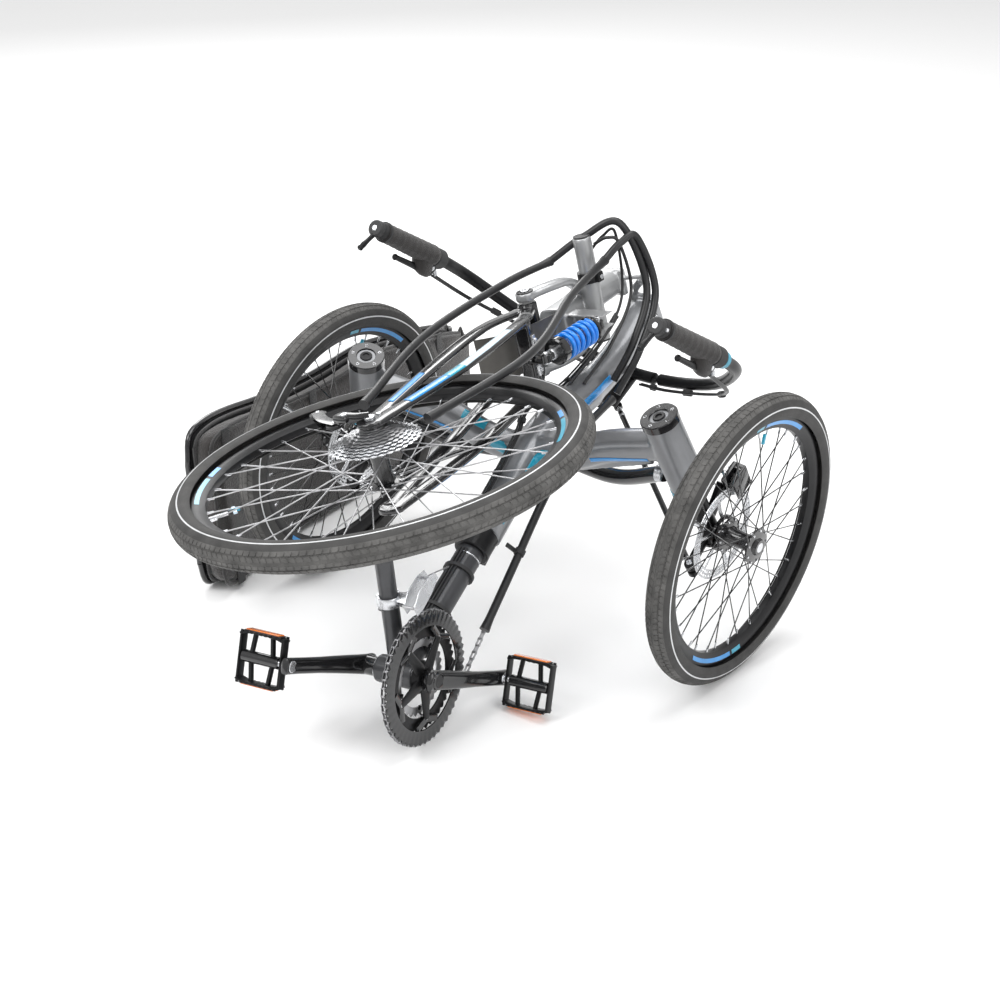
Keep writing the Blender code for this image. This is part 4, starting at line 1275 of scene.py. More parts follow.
@dataclass
class Drive:
    """Triple chainset, crank arms, pedals and chain."""

    teeth: int = 52
    pitch: float = 0.0127

    def build(self) -> None:
        """Builds the rings, arms, pedals and chain."""
        self.centre = Vector(STANCE.bottom_bracket)
        self.rings()
        for side in (1, -1):
            self.arm(side)
            self.pedal(side)
        self.chain()

    def toothed(self, piece: Piece, teeth: int, x: float, inner: float, finish: Finish) -> None:
        """Adds one toothed ring.

        Args:
            piece: Piece that takes the ring.
            teeth: Number of teeth.
            x: Distance of the ring from the frame's middle.
            inner: Radius of its opening.
            finish: Finish of the ring.
        """
        radius = self.pitch * teeth / tau
        half = 0.0011
        steps = teeth * 4
        rows = []
        for step in range(steps):
            angle = tau * step / steps
            out = Y * cos(angle) + Z * sin(angle)
            tip = radius + (0.0026, 0.0004, -0.0030, 0.0004)[step % 4]
            edge = [(-half, inner), (-half, radius - 0.004), (-half * 0.4, tip), (half * 0.4, tip),
                    (half, radius - 0.004), (half, inner)]
            rows.append([self.centre + X * (x + dx) + out * r for dx, r in edge])
        piece.skin(rows, finish, True, False)

    def rings(self) -> None:
        """Builds three chainrings on a five-arm spider."""
        piece = Piece("chainset", STANCE.crank())
        line = STANCE.chainline
        self.toothed(piece, 52, line + 0.0045, 0.0830, GLOSS)
        self.toothed(piece, 42, line - 0.0020, 0.0640, BLACK)
        self.toothed(piece, 30, line - 0.0085, 0.0480, STEEL)
        for k in range(5):
            angle = tau * k / 5
            out, side = Y * cos(angle) + Z * sin(angle), -Y * sin(angle) + Z * cos(angle)
            base = self.centre + X * (line + 0.0030)
            path = [base + out * 0.016, base + out * 0.045, base + out * 0.068]
            piece.tube(path, [(0.012, 0.0032), (0.0085, 0.0030), (0.0062, 0.0026)], BLACK, 12, 0.5,
                       X)
            foot = self.centre + X * (line - 0.0095) + out * 0.066
            piece.rod(foot, foot + X * 0.0145, 0.0042, STEEL, 14, 0.0005)
            for turn in (-0.33, 0.33):
                spot = angle + turn
                lug = self.centre + X * (line + 0.0045) + (Y * cos(spot) + Z * sin(spot)) * 0.080
                piece.tube([base + out * 0.068, lug], (0.0055, 0.0016), GLOSS, 8, 0.6, X)
            piece.tube([foot + X * 0.002 - out * 0.012 - side * 0.004,
                        foot + X * 0.002 - out * 0.018],
                       (0.004, 0.0016), BLACK, 8, 0.4, X)
        piece.turned([(-0.0055, 0.0110), (-0.0055, 0.0270), (0.0055, 0.0220), (0.0055, 0.0110)],
                     BLACK,
                     self.centre + X * line, X, 48)
        piece.finish("crankset", ["chainrings"])

    def arm(self, side: int) -> None:
        """Builds one forged crank arm.

        Args:
            side: 1 on the drive side, -1 on the other.
        """
        name = "right" if side > 0 else "left"
        piece = Piece(f"crank_detail_{name}", STANCE.crank())
        root = self.centre + X * side * 0.064
        end = self.centre + Y * side * STANCE.crank_length + X * side * 0.084
        path = curve_through([root - Y * side * 0.020, root,
                              root + Y * side * 0.06 + X * side * 0.010,
                              root.lerp(end, 0.75) + X * side * 0.002, end,
                              end + Y * side * 0.014], 5)
        count = len(path) - 1
        sizes = []
        for k in range(len(path)):
            t = k / count
            bulge = 0.0185 - 0.0060 * min(1, t * 1.9) + 0.0012 * max(0, t - 0.7) * 3
            close = sqrt(max(0.12, 1 - max(0.0, (0.10 - t) / 0.10) ** 2, ))
            tip = sqrt(max(0.10, 1 - max(0.0, (t - 0.93) / 0.07) ** 2))
            sizes.append((bulge * close * tip, (0.0105 - 0.0035 * min(1, t * 1.6)) * close * tip))
        piece.tube(path, sizes, GLOSS, 20, 0.35, X)
        inner = 0.0515 if side > 0 else 0.0377
        piece.turned([(inner, 0.0100), (inner, 0.0155), (0.064, 0.0160), (0.0745, 0.0130),
                      (0.0750, 0.0100)], GLOSS, self.centre, X * side, 40)
        piece.rod(self.centre + X * side * 0.068, self.centre + X * side * 0.0754, 0.0100, PLASTIC,
                  24,
                  0.001)
        piece.rod(end - X * side * 0.0072, end + X * side * 0.0072, 0.0092, SILVER, 20, 0.0008)
        piece.finish("crankset", [f"crank_arm_{name}"])

    def pedal(self, side: int) -> None:
        """Builds one caged pedal with reflectors.

        Args:
            side: 1 on the drive side, -1 on the other.
        """
        name = "right" if side > 0 else "left"
        piece = Piece(f"pedal_detail_{name}", STANCE.pedal(side))
        at = STANCE.pedal_at(side)
        piece.rod(at - X * side * 0.050, at + X * side * 0.036, 0.0070, SILVER, 20, 0.0008, 0.0045)
        piece.rod(at - X * side * 0.034, at + X * side * 0.036, 0.0095, GLOSS, 20, 0.0015)
        for y in (-0.0385, 0.0385):
            bar = [at + Vector((x, y * (1 - 0.10 * (abs(x) / 0.040) ** 4), 0)) for x in
                   (-0.040, -0.030, -0.015, 0, 0.015, 0.030, 0.040)]
            piece.tube(bar, (0.0022, 0.0108), BLACK, 12, 0.8)
            for k in range(9):
                spot = at + Vector((-0.036 + 0.009 * k, y, 0))
                for dz in (-0.0098, 0.0098):
                    piece.block(spot + Z * dz, (0.0022, 0.0021, 0.0012), BLACK, bevel=0)
        for x in (-0.0395, 0.0395):
            piece.tube([at + Vector((x, y, 0)) for y in (-0.038, -0.018, 0, 0.018, 0.038)],
                       (0.0022, 0.0082), BLACK, 12, 0.7)
        for x in (-0.020, 0.020):
            for s in (-1, 1):
                piece.tube([at + Vector((x, s * 0.008, 0)), at + Vector((x * 0.8, s * 0.038, 0))],
                           (0.0035, 0.0040), BLACK, 10, 0.5)
        for y in (-0.0412, 0.0412):
            piece.block(at + Vector((0, y, 0)), (0.0310, 0.0016, 0.0072), AMBER, bevel=0.0006)
            piece.block(at + Vector((0, y * 0.975, 0)), (0.0335, 0.0010, 0.0090), PLASTIC,
                        bevel=0.0006)
        piece.finish(f"pedal_{name}", [f"pedal_{name}"])

    def chain_path(self) -> list[Vector]:
        """Returns the chain's line from the lower tube round the ring to the derailleur."""
        line = STANCE.chainline
        radius = self.pitch * self.teeth / tau
        mouth = STANCE.front() @ Vector((line, -0.287, 0.250))
        start = STANCE.boom().inverted() @ mouth
        centre = Vector((line, self.centre.y, self.centre.z))
        away = start - centre
        reach = sqrt(away.y**2 + away.z**2)
        angle = atan2(away.z, away.y) - acos(radius / reach)
        path = [start]
        stop = angle - radians(300)
        steps = 40
        for k in range(steps + 1):
            turn = angle + (stop - angle) * k / steps
            path.append(centre + (Y * cos(turn) + Z * sin(turn)) * radius)
        return path

    def chain(self) -> None:
        """Builds the chain, link by link."""
        path = self.chain_path()
        lengths = [0.0]
        for a, b in zip(path, path[1:]):
            lengths.append(lengths[-1] + (b - a).length)
        piece = Piece("chain_front", STANCE.boom())
        count = int(lengths[-1] / self.pitch)
        spots = [self._at(path, lengths, k * self.pitch) for k in range(count + 1)]
        for k, (a, b) in enumerate(zip(spots, spots[1:])):
            wide = 0.0030 if k % 2 else 0.0020
            for offset in (-wide, wide):
                piece.tube([a + X * offset, (a + b) / 2 + X * offset, b + X * offset],
                           [(0.0036, 0.0004), (0.0026, 0.0004), (0.0036, 0.0004)], STEEL, 6, 0.4,
                           X)
            piece.rod(a - X * 0.0038, a + X * 0.0038, 0.0019, STEEL, 6)
        piece.finish("frame", None)

    @staticmethod
    def _at(path: list[Vector], lengths: list[float], at: float) -> Vector:
        """Returns the point at a length along a path."""
        for k in range(len(path) - 1):
            if lengths[k + 1] >= at:
                share = (at - lengths[k]) / max(1e-9, lengths[k + 1] - lengths[k])
                return path[k].lerp(path[k + 1], share)
        return path[-1]


# ---------------------------------------------------------------- steering

@dataclass
class Steering:
    """Handlebar, grips, shifters, brake levers and tie rods."""

    def build(self) -> None:
        """Builds everything that the rider steers with."""
        self.place = STANCE.bar()
        self.bar()
        for side in (1, -1):
            self.hand(side)
            self.rod(side)

    def bar(self) -> None:
        """Builds the bent bar with its hub, clamp and steering arm."""
        piece = Piece("handlebar_detail", self.place)
        low, high = Vector(STANCE.grip_low), Vector(STANCE.grip_high)
        half = [(0, 0.345, 0.132), (0.110, 0.346, 0.148), (0.215, 0.345, 0.195),
                (0.292, 0.325, 0.290),
                low, low.lerp(high, 0.092)]
        full = [flip(p) for p in reversed(half[1:])] + [Vector(p) for p in half]
        piece.tube(curve_through(full, 8), 0.0109, BLACK, 20, 0.0, X + Y * 0.01 + Z * 0.2)
        pivot, axis = Vector(STANCE.bar_pivot), Vector(STANCE.bar_axis)
        piece.rod(pivot - axis * 0.0138, pivot + axis * 0.0146, 0.0236, GLOSS, 40, 0.0015)
        piece.block(pivot + Vector(STANCE.steering_arm) * 0.5 - Z * 0.006, (0.029, 0.043, 0.0048),
                    BLACK,
                    bevel=0.0035)
        for x in (-0.013, 0.013):
            piece.bolt(pivot + X * x - Y * 0.019 + Z * 0.004, -Y, 0.0035, 0.0030, SILVER)
        piece.finish("handlebar", ["handlebar"])

    def hand(self, side: int) -> None:
        """Builds one grip with its palm rest, shifter and brake lever.

        Args:
            side: 1 on the drive side, -1 on the other.
        """
        name = "right" if side > 0 else "left"
        place = same if side > 0 else flip
        low, high = place(STANCE.grip_low), place(STANCE.grip_high)
        along = (high - low).normalized()
        end = high + along * 0.002
        self.grip(name, low, along, end)
        self.shifter(name, side, along, end)
        self.brake(name, low, along)

    def grip(self, name: str, low: Vector, along: Vector, end: Vector) -> None:
        """Builds the tapered grip with a broad palm rest at its foot.

        Args:
            name: Side name.
            low: Foot of the grip line.
            along: Direction of the grip.
            end: Top of the grip.
        """
        piece = Piece(f"grip_detail_{name}", self.place)
        start = low + along * 0.0470
        length = (end - start).length
        rings = 26
        path = [start + along * length * k / rings for k in range(rings + 1)]
        sizes = []
        for k in range(rings + 1):
            t = k / rings
            radius = 0.0192 - 0.0026 * t + (0.0006 if k % 3 else 0.0)
            radius = radius * (0.90 if k in (0, rings) else 1.0)
            sizes.append((radius, radius))
        piece.tube(path, sizes, GRIP, 28, 0.0, X)
        palm = [start + along * 0.046 - Y * 0.002, start + along * 0.026 - Y * 0.012,
                start + along * 0.004 - Y * 0.024, start - along * 0.022 - Y * 0.034]
        piece.tube(curve_through(palm, 5), [(w, h) for w, h in self._palm(16)], GRIP, 20, 0.3, X)
        piece.turned([(0, 0.0160), (0, 0.0182), (0.005, 0.0182), (0.005, 0.0160)], PLASTIC,
                     start + along * (length - 0.006), along, 32)
        if name == "right":
            piece.turned([(0, 0.0120), (0, 0.0150), (0.010, 0.0150), (0.010, 0.0120)], TEAL,
                         start - along * 0.040, along, 32)
        piece.finish("handlebar", [f"grip_{name}"])

    @staticmethod
    def _palm(count: int) -> list[tuple[float, float]]:
        """Returns half widths and half heights along the palm rest."""
        sizes = []
        for k in range(count):
            t = k / (count - 1)
            swell = sin(pi * min(1.0, 0.12 + 0.80 * t)) ** 0.6
            sizes.append((0.0185 * swell + 0.002, 0.0125 * swell + 0.001))
        return sizes

    def shifter(self, name: str, side: int, along: Vector, end: Vector) -> None:
        """Builds the bar-end shifter pod with its short lever.

        Args:
            name: Side name.
            side: 1 on the drive side, -1 on the other.
            along: Direction of the grip.
            end: Top of the grip.
        """
        piece = Piece(f"shifter_detail_{name}", self.place)
        outline = [(0.0004, 0.0002), (0.0004, 0.0135), (0.002, 0.0150), (0.010, 0.0150),
                   (0.012, 0.0138),
                   (0.015, 0.0138), (0.017, 0.0148), (0.024, 0.0146), (0.0262, 0.0125),
                   (0.0262, 0.0002)]
        piece.turned(outline, PLASTIC, end, along, 40)
        piece.bolt(end + along * 0.0260, along, 0.0048, 0.0012, SILVER)
        root = end + along * 0.014
        tip = root + Vector((0, -0.050, 0.006))
        path = curve_through([root - Y * 0.006, root - Y * 0.018 + Z * 0.002, tip], 7)
        taper = [1.0, 1.0, 0.95, 0.9, 0.85, 0.8, 0.75, 0.72, 0.70, 0.7, 0.72, 0.8, 0.9, 0.85,
                 0.6][:len(path)]
        piece.tube(path, (0.0062, 0.0042), BLACK, 14, 0.3, X, taper=taper)
        piece.rod(tip + Y * 0.004, tip - Y * 0.0032, 0.0052, BLACK, 16, 0.0018)
        piece.rod(root + X * side * 0.006, root + X * side * 0.0172, 0.0032, SILVER, 12, 0.0006)
        piece.finish("handlebar", [f"shifter_{name}"])

    def brake(self, name: str, low: Vector, along: Vector) -> None:
        """Builds the brake lever, its clamp and barrel adjuster.

        Args:
            name: Side name.
            low: Foot of the grip line.
            along: Direction of the grip.
        """
        piece = Piece(f"brake_lever_detail_{name}", self.place)
        clamp = low + along * 0.0344
        outline = [(-0.012, 0.0112), (-0.012, 0.0170), (-0.0105, 0.0184), (0.0105, 0.0184),
                   (0.012, 0.0170), (0.012, 0.0112)]
        piece.turned(outline, PLASTIC, clamp, along, 40)
        body = clamp + Vector((0, -0.022, -0.002))
        piece.block(body, (0.0075, 0.0135, 0.0095), BLACK, bevel=0.003)
        piece.rod(body - X * 0.0085, body + X * 0.0085, 0.0042, SILVER, 16, 0.0006)
        reach = [clamp - along * 0.003 - Y * 0.016, clamp + Vector((0, -0.034, 0.0)),
                 clamp + Vector((0, -0.052, 0.035)), clamp + Vector((0, -0.078, 0.085))]
        path = curve_through(reach, 7)
        taper = [1.1 - 0.45 * k / (len(path) - 1) for k in range(len(path))]
        piece.tube(path, (0.0072, 0.0042), BLACK, 14, 0.5, X, taper=taper)
        piece.rod(path[-1] - Z * 0.003 + Y * 0.002, path[-1] + Z * 0.0026 - Y * 0.002, 0.0058,
                  BLACK, 20,
                  0.0022)
        barrel = clamp + Vector((0, -0.016, -0.012))
        piece.rod(barrel, barrel - Z * 0.014 - Y * 0.004, 0.0046, SILVER, 14, 0.0008)
        piece.finish("handlebar", [f"brake_lever_{name}"])

    def rod(self, side: int) -> None:
        """Builds one tie rod with its two ball joints.

        Args:
            side: 1 on the drive side, -1 on the other.
        """
        name = "right" if side > 0 else "left"
        place = same if side > 0 else flip
        pivot, arm = Vector(STANCE.bar_pivot), Vector(STANCE.steering_arm)
        swing = Matrix.Rotation(STANCE.steer_angle, 3, Vector(STANCE.bar_axis).normalized()) @ arm
        inner = pivot + swing + place((0.020, 0, 0)) - Z * 0.026
        pin, axis = place(STANCE.kingpin), place(STANCE.kingpin_axis).normalized()
        outer = pin + Matrix.Rotation(STANCE.steer_angle, 3, axis) @ (arm - Z * 0.022) - Z * 0.020
        piece = Piece(f"tie_rod_detail_{name}", STANCE.front())
        along = (outer - inner).normalized()
        piece.rod(inner + along * 0.020, outer - along * 0.024, 0.0052, GLOSS, 18)
        for spot, way in ((inner, along), (outer, -along)):
            piece.rod(spot + way * 0.006, spot + way * 0.028, 0.0048, SILVER, 16, 0.0004)
            piece.rod(spot + way * 0.028, spot + way * 0.034, 0.0064, SILVER, 6, 0.0005)
            piece.rod(spot - Z * 0.0052, spot + Z * 0.0052, 0.0082, BLACK, 20, 0.0012)
        piece.finish(f"tie_rod_{name}", [f"tie_rod_{name}"])


# ---------------------------------------------------------------- rear section

@dataclass
class RearSection:
    """Folded rear frame, swingarm, shock, wheel, gears and guard."""

    def build(self) -> None:
        """Builds the whole rear section."""
        self.place = STANCE.rear()
        self.hub = Vector((0, STANCE.wheelbase, STANCE.rear_tyre[0]))
        skin = self.frame()
        arm = self.swingarm()
        self.shock()
        self.wheel()
        self.gears()
        self.guard()
        self.tubes()
        self.stripes(skin, arm)

    def frame(self) -> bpy.types.Object:
        """Builds the grey spine with its stays, cross tube and shock bracket.

        Returns:
            The frame object.
        """
        piece = Piece("rear_frame_skin", self.place)
        spine = curve_through([(0, 0.492, 0.163), (0, 0.560, 0.172), (0, 0.640, 0.188),
                               (0, 0.700, 0.194)], 6)
        piece.tube(spine, (0.0240, 0.0280), ALLOY, 24, 0.55)
        piece.rod((-0.061, 0.615, 0.224), (0.129, 0.615, 0.224), 0.0165, ALLOY, 32)
        for side in (-1, 1):
            stay = curve_through([(side * 0.020, 0.605, 0.206), (side * 0.060, 0.655, 0.208),
                                  (side * 0.068, 0.700, 0.204), (side * 0.068, 0.752, 0.190)], 6)
            piece.tube(stay, (0.0078, 0.0160), ALLOY, 18, 0.4)
            piece.rod((side * 0.0605, 0.750, 0.190), (side * 0.0755, 0.750, 0.190), 0.0175, ALLOY,
                      32)
        for x in (-0.0112, 0.0112):
            piece.block((x, 0.676, 0.258), (0.0018, 0.017, 0.042), ALLOY, bevel=0.0008)
        piece.block((0, 0.664, 0.240), (0.0120, 0.008, 0.028), ALLOY, bevel=0.002)
        piece.block((0, 0.4880, 0.163), (0.0250, 0.0075, 0.0340), ALLOY, bevel=0.002)
        fold, line = Vector(STANCE.fold_point), Vector(STANCE.fold_axis).normalized()
        piece.rod(fold + line * 0.0053, fold + line * 0.0275, 0.0076, ALLOY, 24)
        piece.tube([(0.008, 0.491, 0.186), fold + line * 0.016 + Y * 0.003], 0.0048, ALLOY, 12)
        obj = piece.finish("rear_section", ["rear_frame"])
        weld(obj, 0.0022, 10)
        trim = Piece("rear_frame_trim", self.place)
        for side in (-1, 1):
            trim.bolt((side * 0.0757, 0.750, 0.190), X * side, 0.0085, 0.0035, SILVER)
            trim.turned([(0, 0.0100), (0, 0.0150), (0.0012, 0.0145), (0.0012, 0.0100)], BLACK,
                        (side * 0.0757, 0.750, 0.190), X * side, 40)
        trim.turned([(0, 0.0160), (0, 0.0205), (0.018, 0.0205), (0.018, 0.0160)], BLACK,
                    (0.048, 0.615, 0.224), X, 40)
        trim.block((0.057, 0.615, 0.2465), (0.009, 0.0075, 0.0045), BLACK, bevel=0.0015)
        trim.bolt((0.057, 0.615, 0.2505), Z, 0.0042, 0.003, SILVER)
        trim.rod((-0.0615, 0.615, 0.224), (-0.0630, 0.615, 0.224), 0.0150, PLASTIC, 32, 0.0004)
        trim.rod((0.1295, 0.615, 0.224), (0.1312, 0.615, 0.224), 0.0150, PLASTIC, 32, 0.0004)
        trim.rod((-0.0142, 0.696, 0.2925), (0.0142, 0.696, 0.2925), 0.0046, SILVER, 16, 0.0008)
        trim.finish("rear_section", None)
        return obj

    def swingarm(self) -> bpy.types.Object:
        """Builds the black swingarm with its blades, yoke, web and dropouts.

        Returns:
            The swingarm object.
        """
        piece = Piece("swingarm_skin", self.place)
        pivot = Vector(STANCE.swing_pivot)
        piece.rod(pivot - X * 0.0565, pivot + X * 0.0565, 0.0167, GLOSS, 32)
        for side in (-1, 1):
            upper = curve_through([(side * 0.045, 0.762, 0.200), (side * 0.060, 0.860, 0.262),
                                   (side * 0.066, 1.060, 0.312), (side * 0.070, 1.290, 0.337)], 8)
            lower = curve_through([(side * 0.0437, 0.762, 0.182), (side * 0.0567, 0.880, 0.196),
                                   (side * 0.0647, 1.060, 0.250), (side * 0.0687, 1.284, 0.322)],
                                  8)
            piece.tube(upper, (0.0052, 0.0128), GLOSS, 16, 0.5)
            piece.tube(lower, (0.0052, 0.0128), GLOSS, 16, 0.5)
            piece.rod((side * 0.0655, self.hub.y, self.hub.z),
                      (side * 0.0742, self.hub.y, self.hub.z),
                      0.0215, GLOSS, 40)
        turn = Matrix.Rotation(radians(21), 4, X)
        piece.block((0, 0.847, 0.2575), (0.0600, 0.0112, 0.0130), GLOSS, turn, 0.003)
        for x in (-0.0072, 0.0072):
            piece.block((x, 0.852, 0.283), (0.0016, 0.010, 0.017), GLOSS, None, 0.001)
        obj = piece.finish("rear_section", ["swingarm"])
        weld(obj, 0.0020, 4)
        trim = Piece("swingarm_trim", self.place)
        for side in (-1, 1):
            trim.bolt((side * 0.0740, 1.262, 0.322), X * side, 0.0042, 0.002, SILVER)
        trim.rod((-0.0102, 0.852, 0.3010), (0.0102, 0.852, 0.3010), 0.0046, SILVER, 16, 0.0008)
        for side in (-1, 1):
            trim.block((side * 0.026, 0.842, 0.271), (0.010, 0.006, 0.0030), SILVER, turn, 0.0010)
            trim.bolt((side * 0.026, 0.840, 0.2735), (0, -0.35, 0.94), 0.0042, 0.003, SILVER)
        trim.finish("rear_section", None)
        return obj

    def stripes(self, frame: bpy.types.Object, arm: bpy.types.Object) -> None:
        """Lays the pale and blue stripes on the swingarm and the spine.

        Args:
            frame: The rear frame's skin.
            arm: The swingarm's skin.
        """
        decal = Decal("swingarm_stripe", arm, "rear_section")
        for side, name in ((1, "right"), (-1, "left")):
            x = side * 0.066
            for label, start, end, finish in (("pale", 0.12, 0.50, PALE),
                                              ("light", 0.50, 0.62, TEAL),
                                              ("deep", 0.62, 0.84, DECAL)):
                line = curve_through([(x, 0.860, 0.262), (x, 1.060, 0.312), (x, 1.290, 0.337)], 20)
                a, b = int(start * 40), int(end * 40)
                part = [line[a], line[(a + b) // 2], line[b]]
                decal.name = f"swingarm_{label}_{name}"
                decal.lay([[p + Z * 0.0105 for p in part], [p - Z * 0.0060 for p in part]], finish,
                          self.place, (side, 0, 0), 0.03, 14)
            decal.name = f"swingarm_low_{name}"
            low = [(x, 1.10, 0.263), (x, 1.16, 0.283), (x, 1.215, 0.301)]
            decal.lay([[Vector(p) + Z * 0.006 for p in low], [Vector(p) - Z * 0.005 for p in low]],
                      DECAL,
                      self.place, (side, 0, 0), 0.03, 10)
        spine = Decal("spine_stripe", frame, "rear_section")
        for side, name in ((1, "right"), (-1, "left")):
            spine.name = f"spine_stripe_{name}"
            line = [(0, 0.535, 0.166), (0, 0.575, 0.174), (0, 0.600, 0.180)]
            spine.lay([[Vector(p) + Z * 0.010 + X * side * 0.02 for p in line],
                       [Vector(p) - Z * 0.004 + X * side * 0.02 for p in line]], TEAL, self.place,
                      (side, 0, 0), 0.05, 10)

    def shock(self) -> None:
        """Builds the shock with its cups, adjuster, eyes and blue coil spring."""
        front, rear = Vector((0, 0.696, 0.2925)), Vector((0, 0.852, 0.3010))
        along = (rear - front).normalized()
        start, end = front + along * 0.010, rear - along * 0.013
        piece = Piece("shock_detail", self.place)
        piece.rod(start, end, 0.0098, SILVER, 32, 0.001)
        for a, b, radius in ((0.012, 0.0195, 0.0236), (0.0205, 0.026, 0.0170)):
            piece.rod(start + along * a, start + along * b, radius, GLOSS, 40, 0.0015)
        piece.rod(end - along * 0.0295, end - along * 0.0125, 0.0236, GLOSS, 40, 0.0025)
        for spot, way in ((front, 1), (rear, -1)):
            piece.turned([(-0.0062, 0.0048), (-0.0062, 0.0092), (0.0062, 0.0092),
                          (0.0062, 0.0048)], GLOSS,
                         spot, X, 32)
            piece.rod(spot + along * way * 0.006, spot + along * way * 0.016, 0.0075, GLOSS, 24,
                      0.001)
        piece.finish("rear_section", ["shock"])
        coil = Piece("shock_coil", self.place)
        first, last = start + along * 0.0235, end - along * 0.0335
        side = along.cross(Z).normalized()
        top = side.cross(along)
        turns, steps = 6.0, 40
        path = []
        for k in range(int(turns * steps) + 1):
            t = k / (turns * steps)
            squeeze = t + 0.045 * sin(tau * (t - 0.5)) / 1.0
            angle = tau * turns * t
            path.append(first.lerp(last, min(1, max(0, squeeze)))
                        + (side * cos(angle) + top * sin(angle)) * 0.0200)
        coil.tube(path, 0.0040, BLUE, 12, 0.0, along)
        coil.finish("rear_section", ["shock_spring"])

    def wheel(self) -> None:
        """Builds the rear wheel with its cassette."""
        wheel = Wheel("rear", "rear_wheel", self.place, self.hub, *STANCE.rear_tyre,
                      flange=0.028, flange_radius=0.029, hub_half=0.0395, start=0.02,
                      valve=5.72, arcs=((2.36, 0.10), (2.00, 0.33), (5.05, 0.12), (5.20, 0.36)))
        wheel.build()
        piece = Piece("cassette_detail", self.place)
        for k in range(9):
            self.sprocket(piece, 0.0700 - 0.0056 * k, 0.0402 + 0.0026 * k, k)
        for k in range(6):
            angle = tau * k / 6
            out, side = Y * cos(angle) + Z * sin(angle), -Y * sin(angle) + Z * cos(angle)
            base = self.hub + X * 0.0396
            piece.tube([base + out * 0.018, base + out * 0.042 + side * 0.008, base + out * 0.064],
                       (0.0042, 0.0012), SILVER, 8, 0.6, X)
        piece.turned([(0.0405, 0.0090), (0.0405, 0.0180), (0.0625, 0.0180), (0.0625, 0.0090)],
                     STEEL,
                     self.hub, X, 40)
        piece.turned([(0.0620, 0.0085), (0.0620, 0.0150), (0.0645, 0.0140), (0.0645, 0.0085)],
                     GLOSS,
                     self.hub, X, 40)
        piece.finish("rear_wheel", ["cassette"])

    def sprocket(self, piece: Piece, radius: float, x: float, index: int) -> None:
        """Adds one sprocket.

        Args:
            piece: Piece that takes it.
            radius: Radius at the teeth.
            x: Distance from the wheel's middle.
            index: Position in the cassette.
        """
        teeth = int(radius * tau / 0.0127)
        rows = []
        for step in range(teeth * 4):
            angle = tau * step / (teeth * 4)
            out = Y * cos(angle) + Z * sin(angle)
            tip = radius + (0.0018, 0.0, -0.0024, 0.0)[step % 4]
            edge = [(-0.0009, max(0.0175, radius - 0.014)), (-0.0009, radius - 0.0035),
                    (-0.0004, tip),
                    (0.0004, tip), (0.0009, radius - 0.0035),
                    (0.0009, max(0.0175, radius - 0.014))]
            rows.append([self.hub + X * (x + dx) + out * r for dx, r in edge])
        piece.skin(rows, SILVER if index < 4 else STEEL, True, False)

    def gears(self) -> None:
        """Builds the axle ends, rear derailleur and its jockey wheels."""
        piece = Piece("rear_axle_detail", self.place)
        at = self.hub
        piece.rod(at - X * 0.0790, at - X * 0.0763, 0.0088, SILVER, 24, 0.0006)
        piece.turned([(-0.0792, 0.0040), (-0.0792, 0.0072), (-0.0786, 0.0072), (-0.0786, 0.0040)],
                     DECAL,
                     at, X, 32)
        piece.finish("rear_section", ["rear_axle"])
        piece = Piece("rear_derailleur_detail", self.place)
        piece.rod(at + X * 0.0745, at + X * 0.0800, 0.0088, SILVER, 24, 0.0008)
        knuckle = Vector((0.082, 1.302, 0.288))
        piece.block(knuckle, (0.0058, 0.0105, 0.0135), GLOSS, bevel=0.0035)
        piece.bolt(knuckle + Vector((0.0058, 0.003, 0.006)), X, 0.0055, 0.002, SILVER)
        piece.tube(curve_through([knuckle + Z * 0.008, at + Vector((0.080, 0.010, -0.012)),
                                  at + X * 0.0785], 4), (0.004, 0.008), GLOSS, 12, 0.4, X)
        for x in (0.0615, 0.0705):
            path = curve_through([(x, 1.300, 0.268), (x, 1.293, 0.232), (x, 1.272, 0.196)], 6)
            piece.tube(path, (0.0095, 0.0009), GLOSS, 10, 0.6, X)
        for y, z in ((1.300, 0.262), (1.272, 0.198)):
            piece.turned([(-0.0020, 0.004), (-0.0020, 0.0135), (0.0020, 0.0135), (0.0020, 0.004)],
                         PLASTIC,
                         (0.066, y, z), X, 22)
            piece.rod((0.0605, y, z), (0.0722, y, z), 0.0034, SILVER, 14, 0.0004)
        piece.tube([(0.074, 1.300, 0.272), (0.078, 1.301, 0.280)], 0.008, GLOSS, 14, 0, X)
        piece.finish("rear_section", ["rear_derailleur"])

    def guard(self) -> None:
        """Builds the curved mud flap with a rolled rim and its screws."""
        line = curve_through([(0, 0.752, 0.246), (0, 0.800, 0.238), (0, 0.856, 0.214),
                              (0, 0.886, 0.178)], 7)
        piece = Piece("mud_flap_detail", self.place)
        rows = []
        for k, point in enumerate(line):
            before, after = line[max(0, k - 1)], line[min(len(line) - 1, k + 1)]
            normal = X.cross((after - before).normalized()).normalized()
            row = []
            for n in range(11):
                u = -1 + n / 5
                row.append(point + X * u * 0.0385 + normal * 0.0045 * (u * u - 0.5))
            under = [p - normal * 0.0020 for p in reversed(row)]
            rows.append(row + under)
        piece.skin(rows, PANEL, False, True)
        for x in (-0.018, 0.018):
            piece.bolt(line[2] + X * x + Z * 0.0002, Z, 0.0042, 0.0025, SILVER)
        piece.finish("rear_section", ["mud_flap"])

